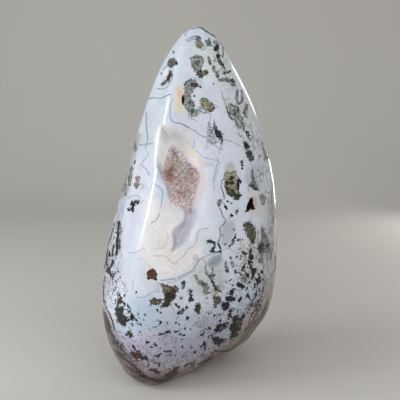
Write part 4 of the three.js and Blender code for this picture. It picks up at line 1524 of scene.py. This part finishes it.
# Nets: thin lines, soft moss in two colours, and dark moss in two colours.
LACE_SIZE, LACE_WIDTH, LACE_STRENGTH = 4.5, 0.02, 0.8
SOFT_MOSS = {"rare": 0.65, "spread": 0.15, "softness": 0.04}
SOFT_MOSS_NOISE, SOFT_MOSS_DRAWN, SOFT_MOSS_STRENGTH = (1, 4, 0.65), (2.6, 5), 0.55
SOFT_KIND_SIZE, SOFT_KIND_LEVELS = 4, (0.42, 0.58)
DARK_MOSS = {"rare": 0.65, "spread": 0.125, "softness": 0.012}
DARK_MOSS_NOISE, DARK_MOSS_TWIST, DARK_MOSS_STRENGTH = (3.2, 2.5, 0.55), 1.3, 0.97
DARK_KIND_SIZE, DARK_KIND_LEVELS = 6, (0.48, 0.6)
SPECK_MARKS = {"rare": 0.72, "spread": 0.135, "softness": 0.04}
SPECK_NOISE, SPECK_DRAWN, SPECK_STRENGTH = (1, 3, 0.6), (1.5, 0.8), 0.9
DRAWN_TWIST, RAGGED_TWIST = 0.6, 0.5
# The heights between which the foot's level streaks turn into upright ones, and brown marks into grey ones.
LEVEL_STREAKS, BROWN_MARKS = (16, 34), (34, 64)
# The edges of moss and cores: how ragged they are, and the depth in millimetres up to which that tells.
# Then how far they are moved outwards, how soft they are, and where the dark rim is that follows them.
RAGGED_EDGES = {"patch": (6, 1), "core": (2.6, 0.7)}
RAGGED_NOISE = (1.5, 4, 0.65)
EDGE_OUT, EDGE_SOFTNESS = 0.15, 0.16
RIM_PLACE, RIM_FADE = 0.25, (0.15, 0.7)
# The rim's strength on dark and on pale moss, and the brightness of either.
RIM_STRENGTHS, RIM_BRIGHTNESS = (0.9, 0.25), (0.06, 0.4)
# Between these brightnesses dark moss turns into pale moss, whose edges have this share of the raggedness.
PALE_MOSS = (0.1, 0.35)
PALE_RAGGEDNESS = 0.75
# The grain of moss: its darkest, its lightest on dark and on pale moss, flecks and pale spots.
GRAIN_NOISE, GRAIN_TWIST, GRAIN_LEVELS = (1.3, 3, 0.7), 1, (0.4, 0.58)
GRAIN_DARKEST, GRAIN_LIGHTEST = 0.42, (1.3, 1.05)
FLECK_SIZE, FLECK_LEVELS, FLECK_SHADES = 0.9, (0.35, 0.65), (0.65, 1.35)
SPOT_LEVELS, SPOT_STRENGTH, SPOT_BRIGHTNESS = (0.59, 0.64), 0.4, (0.06, 0.13)
# The polish, and the faint glow under it: its share and its reach for red, green and blue.
POLISH_ROUGHNESS, MOSS_ROUGHNESS, DULL_ROUGHNESS = 0.135, 0.08, 0.25
MOSS_HEIGHT = 0.05
JASPER_IOR, QUARTZ_IOR = 1.47, 1.54
GLOW_SHARE, GLOW_REACH = 0.04, (1.2, 1, 0.9)
# The pits' lining and the druse.
LINING_NOISE, LINING_LEVELS, LINING_SHADES = (1, 3, 0.7), (0.38, 0.62), (0.4, 1.5)
SPARKLE_SIZE, SPARKLE_LEVELS, SPARKLE_STRENGTH = 0.45, (0.66, 0.74), 0.5
LINING_HEIGHT, LINING_ROUGHNESS = 0.5, 0.45
DRUSE_SHADES = (0.7, 1.5)
GLAZE_SIZE, GLAZE_LEVELS, GLAZE_SHADES = 0.5, (0.3, 0.7), (0.9, 1.1)
GLAZE_ROUGHNESS_LEVELS, GLAZE_ROUGHNESS = (0.35, 0.65), (0.08, 0.25)


def clouded_colour(nodes):
    """The stone's washes with milky clouds in them, and faint lavender crackle lines."""
    clouds = nodes.ramp(nodes.noise(CLOUD_SIZE, CLOUD_DETAIL), *CLOUD_LEVELS, *CLOUD_SHADES)
    fine_clouds = nodes.ramp(nodes.noise(FINE_CLOUD_SIZE, CLOUD_DETAIL), *CLOUD_LEVELS, *FINE_CLOUD_SHADES)
    colour = nodes.shade(nodes.kept("tint", "Color"), nodes.plus(clouds, fine_clouds))
    strength = nodes.rising(nodes.kept("nets"), CRACKLE_IN_NETS, CRACKLE_STRENGTH)
    crackle = nodes.times(nodes.line(CRACKLE_SIZE, CRACKLE_WIDTH), strength)
    return nodes.mix(crackle, colour, "mauve")


def streaked(nodes, colour):
    """Soft streaks that run up the sides, and level ones round the foot."""
    near_foot = nodes.ramp(nodes.kept("grain_height"), *LEVEL_STREAKS, 1, 0)
    for size, levels, name in STREAK_KINDS:
        upright, level = (
            nodes.noise(size, *STREAK_NOISE, nodes.drawn_out(*sides), STREAK_TWIST)
            for sides in ((STREAK_WIDTH, STREAK_LENGTH), (STREAK_LENGTH, STREAK_WIDTH))
        )
        streak = nodes.plus(upright, nodes.times(nodes.minus(level, upright), near_foot))
        share = nodes.times(nodes.ramp(streak, *levels), nodes.kept("streaks"))
        colour = nodes.mix(nodes.times(share, STREAK_STRENGTH), colour, name)
    return colour


def veined(nodes, colour):
    """Thin grey veins that wander a little and fade here and there."""
    wander = nodes.times(nodes.swing(nodes.noise(WANDER_SIZE)), VEIN_WANDER)
    off_vein = nodes.math("ABSOLUTE", nodes.plus(nodes.kept("vein"), wander))
    share = nodes.times(nodes.ramp(off_vein, *VEIN_EDGE, 1, 0), nodes.kept("vein_strength"))
    fading = nodes.ramp(nodes.noise(FADING_SIZE), *FADING_LEVELS, *VEIN_FADING)
    return nodes.mix(nodes.times(share, fading), colour, "mauve")


def netted(nodes, colour, low_down):
    """A net of fine moss: thin lines, soft grey moss, and dark grains."""
    net = nodes.kept("nets")
    lace = nodes.times(nodes.line(LACE_SIZE, LACE_WIDTH), net)
    colour = nodes.mix(nodes.times(lace, LACE_STRENGTH), colour, "slate")
    drawn = nodes.noise(*SOFT_MOSS_NOISE, nodes.drawn_out(*SOFT_MOSS_DRAWN), DRAWN_TWIST)
    soft_moss = nodes.above(drawn, net, **SOFT_MOSS)
    soft_kind = nodes.mix(nodes.ramp(nodes.noise(SOFT_KIND_SIZE), *SOFT_KIND_LEVELS), "loam", "grey")
    colour = nodes.mix(nodes.times(soft_moss, SOFT_MOSS_STRENGTH), colour, soft_kind)
    dark_moss = nodes.above(nodes.noise(*DARK_MOSS_NOISE, twist=DARK_MOSS_TWIST), net, **DARK_MOSS)
    dark_kind = nodes.mix(nodes.ramp(nodes.noise(DARK_KIND_SIZE), *DARK_KIND_LEVELS), "ink", "moss")
    dark_kind = nodes.mix(low_down, dark_kind, "bark")
    return nodes.mix(nodes.times(dark_moss, DARK_MOSS_STRENGTH), colour, dark_kind)


def specked(nodes, colour, low_down):
    """Dark specks, many of them short level dashes."""
    dashes = nodes.noise(*SPECK_NOISE, nodes.drawn_out(*SPECK_DRAWN), RAGGED_TWIST)
    share = nodes.above(dashes, nodes.kept("specks"), **SPECK_MARKS)
    return nodes.mix(nodes.times(share, SPECK_STRENGTH), colour, nodes.mix(low_down, "slate", "umber"))


def grained(nodes, own_colour, grain):
    """A patch's own colour with dark and light grain, flecks, and small pale spots where it isn't dark."""
    lightest = nodes.ramp(own_colour, *PALE_MOSS, *GRAIN_LIGHTEST)
    level = nodes.ramp(grain, *GRAIN_LEVELS, GRAIN_DARKEST, lightest)
    fleck = nodes.ramp(nodes.cells(FLECK_SIZE), *FLECK_LEVELS, *FLECK_SHADES)
    colour = nodes.shade(own_colour, nodes.times(level, fleck))
    spots = nodes.ramp(grain, *SPOT_LEVELS, 0, SPOT_STRENGTH)
    return nodes.mix(nodes.times(spots, nodes.ramp(own_colour, *SPOT_BRIGHTNESS)), colour, "fog")


def mossy_edge(nodes, layer, ragged, own_colour):
    """How far inside the ragged edge of a layer's marks a place is, in millimetres."""
    raggedness, deepest = RAGGED_EDGES[layer]
    torn = nodes.ramp(own_colour, *PALE_MOSS, raggedness, PALE_RAGGEDNESS * raggedness)
    body = nodes.math("MINIMUM", nodes.plus(nodes.kept(layer), EDGE_OUT), deepest)
    return nodes.plus(body, nodes.times(ragged, torn))


def rimmed(nodes, colour, own_colour, edge):
    """A dark rim just inside the edge, weaker where the moss is pale."""
    rim = nodes.ramp(nodes.off(edge, RIM_PLACE), *RIM_FADE, 1, 0)
    strength = nodes.ramp(own_colour, *RIM_BRIGHTNESS, *RIM_STRENGTHS)
    return nodes.mix(nodes.times(rim, strength), colour, "ink")


def polish(nodes, colour, mossy):
    roughness = nodes.rising(mossy, MOSS_ROUGHNESS, POLISH_ROUGHNESS)
    made = nodes.finish(colour, nodes.rising(nodes.kept("dull"), DULL_ROUGHNESS, roughness))
    nodes.shader.inputs["IOR"].default_value = JASPER_IOR
    nodes.shader.inputs["Subsurface Weight"].default_value = GLOW_SHARE
    nodes.shader.inputs["Subsurface Radius"].default_value = GLOW_REACH
    nodes.shader.inputs["Subsurface Scale"].default_value = MM
    return made


def make_jasper():
    """Milky chalcedony with washes, veins, specks and ragged moss, under a high polish."""
    nodes = Nodes("polished_jasper")
    low_down = nodes.ramp(nodes.kept("grain_height"), *BROWN_MARKS, 1, 0)
    colour = veined(nodes, streaked(nodes, clouded_colour(nodes)))
    colour = specked(nodes, netted(nodes, colour, low_down), low_down)
    # Ragged moss with holes, then the cores and single grains on it.
    ragged = nodes.swing(nodes.noise(*RAGGED_NOISE, twist=RAGGED_TWIST))
    grain = nodes.noise(*GRAIN_NOISE, twist=GRAIN_TWIST)
    masks = []
    for layer in LAYERS:
        own_colour = nodes.kept(layer + "_colour", "Color")
        edge = mossy_edge(nodes, layer, ragged, own_colour)
        moss = rimmed(nodes, grained(nodes, own_colour, grain), own_colour, edge)
        masks.append(nodes.ramp(edge, -EDGE_SOFTNESS, EDGE_SOFTNESS))
        colour = nodes.mix(masks[-1], colour, moss)
    mossy = nodes.math("MAXIMUM", *masks)
    nodes.bump(nodes.times(mossy, grain), MOSS_HEIGHT)
    return polish(nodes, colour, mossy)


def make_pit_lining():
    """The rough, darker inside of a small open pit, crystals pale here and there."""
    nodes = Nodes("pit_lining")
    grain = nodes.noise(*LINING_NOISE)
    colour = nodes.shade(nodes.kept("tint", "Color"), nodes.ramp(grain, *LINING_LEVELS, *LINING_SHADES))
    sparkle = nodes.ramp(nodes.noise(SPARKLE_SIZE), *SPARKLE_LEVELS, 0, SPARKLE_STRENGTH)
    nodes.bump(grain, LINING_HEIGHT)
    return nodes.finish(nodes.mix(sparkle, colour, "rose"), LINING_ROUGHNESS)


def make_druse():
    """Pinkish-brown quartz points, each of its own shade."""
    nodes = Nodes("druzy_quartz")
    colour = nodes.shade(nodes.kept("tint", "Color"), nodes.ramp(nodes.kept("shade"), 0, 1, *DRUSE_SHADES))
    glaze = nodes.noise(GLAZE_SIZE)
    colour = nodes.shade(colour, nodes.ramp(glaze, *GLAZE_LEVELS, *GLAZE_SHADES))
    made = nodes.finish(colour, nodes.ramp(glaze, *GLAZE_ROUGHNESS_LEVELS, *GLAZE_ROUGHNESS))
    nodes.shader.inputs["IOR"].default_value = QUARTZ_IOR
    return made


# ---------- the finished stone ----------
def colour_pits(mesh, tint, points):
    """Tints each pit's lining; its faces are the ones that carry the second material."""
    slots = numbers_of(mesh.polygons, "material_index", kind=int)
    for number in np.flatnonzero(slots == 1):
        for vertex in mesh.polygons[number].vertices:
            x, _, z = points[vertex]
            tint[vertex] = linear(min(PITS, key=lambda pit: math.hypot(pit[0][0] - x, pit[0][1] - z))[3])


def sharpen_pits(mesh):
    """Makes the edges between the pits' lining and the polished skin sharp."""
    sides = {}
    for face in mesh.polygons:
        for edge in face.edge_keys:
            sides.setdefault(edge, set()).add(face.material_index)
    sharp = [len(sides[edge.key]) > 1 for edge in mesh.edges]
    mesh.attributes.new("sharp_edge", "BOOLEAN", "EDGE").data.foreach_set("value", sharp)


def point_areas(mesh):
    """How much of the surface belongs to each point of a mesh."""
    corners = numbers_of(mesh.loops, "vertex_index", kind=int)
    areas = numbers_of(mesh.polygons, "area")
    counts = numbers_of(mesh.polygons, "loop_total", kind=int)
    return np.bincount(corners, np.repeat(areas / counts, counts), len(mesh.vertices))


def cut_pits(stone, lining):
    for place, radii, sunk, _, corners in PITS:
        cutter = make_pit_cutter(place, radii, sunk, corners)
        cutter.data.materials.append(lining)
        cut(stone, cutter)


def store_marks(mesh, points):
    """Works out the stone's marks and keeps them on its mesh."""
    marks = work_out_marks(points, numbers_of(mesh.vertex_normals, "vector", 3), point_areas(mesh))
    colour_pits(mesh, marks.tint, points)
    store_colours(mesh, "tint", marks.tint)
    for layer in LAYERS:
        store(mesh, layer, marks.layers[layer])
        store_colours(mesh, layer + "_colour", marks.colours[layer])
    store(mesh, "vein", marks.vein)
    for name, field in marks.fields.items():
        store(mesh, name, field)


def finish_stone():
    stone = make_stone()
    lining = make_pit_lining()
    stone.data.materials.append(make_jasper())
    stone.data.materials.append(lining)
    cut_pits(stone, lining)
    mesh = stone.data
    mesh.polygons.foreach_set("use_smooth", np.full(len(mesh.polygons), True))
    sharpen_pits(mesh)
    points = numbers_of(mesh.vertices, "co", 3) / MM
    store_marks(mesh, points)
    flow = flow_places(points)
    store(mesh, "flow", flow, "FLOAT_VECTOR", "vector")
    store(mesh, "grain_height", flow[:, 2])
    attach(stone, "root")
    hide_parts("stone")


# ---------- the druzy crust ----------
PLATE_STEP = 0.6
PLATE_MARGIN = 1.6
PLATE_THICKNESS = 1.2
# How far the crust stands out of the pocket's wall, how deep its rim dives into the stone, and how far
# inside the pocket's edge the one turns into the other.
PLATE_OUT, PLATE_DIVE = -0.12, 0.9
PLATE_EDGE = (-0.7, 0.35)
PLATE_SHADE = 0.2

CRYSTALS = 2600
# Spots that are tried for each crystal, how far inside the pocket they have to be, and how many are kept on
# a level wall; steeper walls keep more.
SPOTS_TRIED = 4
SPOT_INSET = 0.1
SPOTS_KEPT = 0.35
# How far apart the wall's slope is measured, on either side.
SLOPE_STEP = 0.15
POINT_RADIUS = (0.28, 0.62)
POINT_LENGTH = (0.5, 1.15)
POINT_ROOT = 0.7
POINT_TILT = 0.45
# Points are smaller near the pocket's edge: over what distance, and what is left of their width and length.
EDGE_POINTS, EDGE_WIDTH, EDGE_LENGTH = (0, 2.5), 0.6, 0.35
# A quartz point: its sides, where its shoulder is and its tip, as shares of its length, and how far off the
# middle the tip is, as a share of its radius. Its ring is turned from a direction that none points in.
POINT_SIDES = 6
SHOULDER, TIP = (0.6, 0.8), 1.15
TIP_WANDER = 0.4
RING_START = (0.3, 0.2, 0.9)
# Stains of the druse by pixels of the photograph, some of them painted shade and painted light: colour,
# softness, strength and outline.
DRUSE_STAINS = [
    ("rose", 4, 0.7, "187,156 196,164 202,172 202,188 195,186 187,172"),
    # Painted shade with reddish-brown spots on the deep left side of the druse, under its overhanging wall.
    ("russet", 3, 0.8, "163,170 172,167 174,178 171,184 164,178"),
    ("russet", 2, 0.3, "175,150 178,152 176,166 172,178 168,174 173,162"),
    ("russet", 2.5, 0.25, "180,171 192,174 194,180 182,178"),
    ("sand", 3, 0.7, "176,156 183,160 188,170 188,180 181,178 175,166"),
    # Painted light: a pale wash that lifts the shade of the fold at the druse's top.
    ("cream", 2.5, 0.6, "169,146 176,146 179,154 175,162 169,158"),
    ("sand", 3, 0.5, "188,188 194,190 192,206 187,204"),
    ("blush", 4, 0.6, "196,168 202,172 202,190 196,192"),
]
# The druse's paler right border: how far inside the pocket's edge it reaches, how pale it is, and from where
# to where rightwards it comes in.
DRUSE_BORDER, DRUSE_PALENESS, DRUSE_PALE_SIDE = (0, 2.4), 0.8, (-4, 3)


def crust_surface(x, z, out=0):
    return front_y(x, z) + hollow_depth(x, z) + out


def grid_faces(rows, columns):
    """Quads between the points of a grid, as rows of four."""
    row, column = np.meshgrid(np.arange(rows - 1), np.arange(columns - 1), indexing="ij")
    a = (row * columns + column).ravel()
    return np.stack([a, a + 1, a + columns + 1, a + columns], axis=-1)


def plate_mesh():
    """A thin closed plate that follows the pocket's wall and dives into the stone round its edge."""
    low, high = POCKET_CURVE.min(axis=0) - PLATE_MARGIN, POCKET_CURVE.max(axis=0) + PLATE_MARGIN
    across, up = (np.linspace(a, b, int((b - a) / PLATE_STEP) + 1) for a, b in zip(low, high))
    x, z = np.meshgrid(across, up)
    inset = inside_pocket(x, z)
    y = crust_surface(x, z, mixed((PLATE_DIVE, PLATE_OUT), smooth(inset, *PLATE_EDGE)))
    front = np.stack([x, y, z], axis=-1).reshape(-1, 3)
    back = np.stack([x, y + PLATE_THICKNESS, z], axis=-1).reshape(-1, 3)
    faces = grid_faces(*x.shape)
    faces = faces[inset.ravel()[faces].max(axis=1) > -PLATE_MARGIN]
    behind = faces[:, ::-1] + len(front)
    edges = {}
    for face in faces.tolist():
        for p, q in zip(face, face[1:] + face[:1]):
            edges[(p, q)] = True
    walls = [[q, p, p + len(front), q + len(front)] for p, q in edges if (q, p) not in edges]
    return np.concatenate([front, back]), faces.tolist() + behind.tolist() + walls


def crystal(root, axis, radius, length, random):
    """A quartz point: its corners, the tip last, and its faces."""
    side = np.cross(axis, RING_START)
    side /= np.linalg.norm(side)
    other = np.cross(axis, side)
    ring = np.arange(POINT_SIDES) * 2 * np.pi / POINT_SIDES + random.random() * np.pi
    base = root + (np.cos(ring)[:, None] * side + np.sin(ring)[:, None] * other) * radius
    shoulder = base + axis * length * random.uniform(*SHOULDER)
    tip = root + axis * length * TIP + (random.random(3) - 1 / 2) * radius * TIP_WANDER
    faces = [list(range(POINT_SIDES))[::-1]]
    for k in range(POINT_SIDES):
        following = (k + 1) % POINT_SIDES
        faces.append([k, following, following + POINT_SIDES, k + POINT_SIDES])
        faces.append([k + POINT_SIDES, following + POINT_SIDES, 2 * POINT_SIDES])
    return np.concatenate([base, shoulder, [tip]]), faces


def wall_normals(x, z):
    """Which way the pocket's wall faces at places on it, not yet made one long."""
    step = SLOPE_STEP
    slope_x = (crust_surface(x + step, z) - crust_surface(x - step, z)) / (2 * step)
    slope_z = (crust_surface(x, z + step) - crust_surface(x, z - step)) / (2 * step)
    return np.stack([slope_x, -np.ones(len(x)), slope_z], axis=-1)


def crystal_spots(random):
    """Where the crystals are rooted, which way the wall faces there, and how far inside the pocket it is."""
    low, high = POCKET_CURVE.min(axis=0), POCKET_CURVE.max(axis=0)
    spots = random.uniform(low, high, (CRYSTALS * SPOTS_TRIED, 2))
    spots = spots[inside_pocket(spots[:, 0], spots[:, 1]) > SPOT_INSET]
    x, z = spots.T
    normals = wall_normals(x, z)
    steepness = np.linalg.norm(normals, axis=1)
    normals /= steepness[:, None]
    kept = random.random(len(x)) < np.minimum(1, SPOTS_KEPT * steepness)
    chosen = np.flatnonzero(kept)[:CRYSTALS]
    places = np.stack([x, crust_surface(x, z), z], axis=-1)
    return places[chosen], normals[chosen], smooth(inside_pocket(x, z), *EDGE_POINTS)[chosen]


def crust_mesh(random):
    """The plate with all the crystals on it: points, faces and a shade for each point."""
    points, faces = plate_mesh()
    all_points = [points]
    shades = [np.full(len(points), PLATE_SHADE)]
    count = len(points)
    for place, normal, inset in zip(*crystal_spots(random)):
        axis = normal + random.normal(0, POINT_TILT, 3)
        axis /= np.linalg.norm(axis)
        radius = random.uniform(*POINT_RADIUS) * mixed((EDGE_WIDTH, 1), inset)
        length = random.uniform(*POINT_LENGTH) * mixed((EDGE_LENGTH, 1), inset)
        corners, sides = crystal(place - axis * POINT_ROOT, axis, radius, length + POINT_ROOT, random)
        faces += [[corner + count for corner in side] for side in sides]
        all_points.append(corners)
        shades.append(np.full(len(corners), random.random()))
        count += len(corners)
    return np.concatenate(all_points), faces, np.concatenate(shades)


def druse_tint(points):
    """The druse's stains, some of them painted shade and painted light, as they show in the photograph, and
    its paler right border.
    """
    marks = Marks(points, np.tile([0, -1, 0], (len(points), 1)))
    marks.tint[:] = linear("petal")
    for stain in DRUSE_STAINS:
        marks.wash(*stain)
    x, _, z = points.T
    fade = (1 - smooth(inside_pocket(x, z), *DRUSE_BORDER)) * DRUSE_PALENESS * smooth(x, *DRUSE_PALE_SIDE)
    return blended(marks.tint, linear("blush"), fade)


def finish_crust():
    points, faces, shades = crust_mesh(np.random.default_rng(SEED + 1))
    crust = make_object("druzy_crust_points", points, faces, False)
    crust.data.materials.append(make_druse())
    store_colours(crust.data, "tint", druse_tint(points))
    store(crust.data, "shade", shades)
    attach(crust, "root")
    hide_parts("druzy_crust")


# ---------- camera, floor and light ----------
SENSOR_WIDTH = 36
NEAREST_SEEN = 10
# The floor: how far it reaches to the front and to each side, where it starts to bend up into a wall behind
# the stone, the bend's radius and steps, and the wall's top.
FLOOR_FRONT, FLOOR_SIDE = -1500, 1800
BEND_START, BEND_RADIUS, BEND_STEPS = 500, 300, 12
WALL_TOP = 1600
FLOOR_PAINT, FLOOR_ROUGHNESS = (0.56, 0.535, 0.495, 1), 0.6
ROOM_LIGHT, ROOM_STRENGTH = (0.92, 0.95, 1, 1), 0.4
DAYLIGHT, PANE_LIGHT, LAMP_LIGHT = (0.95, 0.98, 1), (1, 0.98, 0.95), (1, 0.98, 0.96)
# Soft lamps aimed at the stone: name, place, size, power in watts, colour and whether the polish mirrors it.
LAMPS = [
    ("window", (-600, -140, 340), (260, 260), 2.3, DAYLIGHT, True),
    ("window_sill", (-600, -140, 165), (260, 90), 0.3, DAYLIGHT, True),
    ("sky", (-500, -700, 600), (800, 800), 2.75, DAYLIGHT, False),
    ("far_pane", (420, 420, 345), (22, 150), 0.28, PANE_LIGHT, True),
    ("low_pane", (420, 420, 88), (34, 124), 0.4, PANE_LIGHT, True),
    ("fill", (560, -620, 420), (800, 800), 3.1, LAMP_LIGHT, False),
]
LAMP_AIM = (6, 0, 110)


def make_camera():
    camera = bpy.data.objects.new("camera", bpy.data.cameras.new("camera"))
    camera.data.sensor_width = SENSOR_WIDTH
    camera.data.lens = SENSOR_WIDTH * FOCAL_PIXELS / PHOTO_SIDE
    camera.data.clip_start = NEAREST_SEEN * MM
    camera.location = Vector(CAMERA * MM)
    camera.rotation_euler = (math.pi / 2 - CAMERA_DIP, 0, 0)
    bpy.context.scene.collection.objects.link(camera)
    bpy.context.scene.camera = camera


def make_floor():
    """A pale floor that curves up into a wall behind the stone."""
    profile = [(FLOOR_FRONT, 0), (BEND_START, 0)]
    for turn in np.linspace(0, np.pi / 2, BEND_STEPS + 1)[1:]:
        profile.append((BEND_START + BEND_RADIUS * math.sin(turn), BEND_RADIUS * (1 - math.cos(turn))))
    profile.append((BEND_START + BEND_RADIUS, WALL_TOP))
    points = [(side, y, z) for y, z in profile for side in (-FLOOR_SIDE, FLOOR_SIDE)]
    faces = [(2 * i, 2 * i + 1, 2 * i + 3, 2 * i + 2) for i in range(len(profile) - 1)]
    floor = make_object("floor", points, faces, True)
    material = bpy.data.materials.new("floor_paint")
    material.use_nodes = True
    shader = material.node_tree.nodes["Principled BSDF"]
    shader.inputs["Base Color"].default_value = FLOOR_PAINT
    shader.inputs["Roughness"].default_value = FLOOR_ROUGHNESS
    floor.data.materials.append(material)


def make_lamp(name, place, size, power, colour, is_mirrored):
    light = bpy.data.lights.new(name, "AREA")
    light.shape = "RECTANGLE"
    light.size, light.size_y = size[0] * MM, size[1] * MM
    light.energy = power
    light.color = colour
    lamp = bpy.data.objects.new(name, light)
    lamp.location = Vector(place) * MM
    lamp.rotation_euler = (Vector(LAMP_AIM) - Vector(place)).to_track_quat("-Z", "Y").to_euler()
    lamp.visible_glossy = is_mirrored
    bpy.context.scene.collection.objects.link(lamp)


def make_world():
    world = bpy.data.worlds.new("room")
    world.use_nodes = True
    background = world.node_tree.nodes["Background"]
    background.inputs["Color"].default_value = ROOM_LIGHT
    background.inputs["Strength"].default_value = ROOM_STRENGTH
    bpy.context.scene.world = world


make_camera()
make_floor()
make_world()
for lamp in LAMPS:
    make_lamp(*lamp)
bpy.context.scene.view_settings.view_transform = "Standard"
finish_stone()
finish_crust()
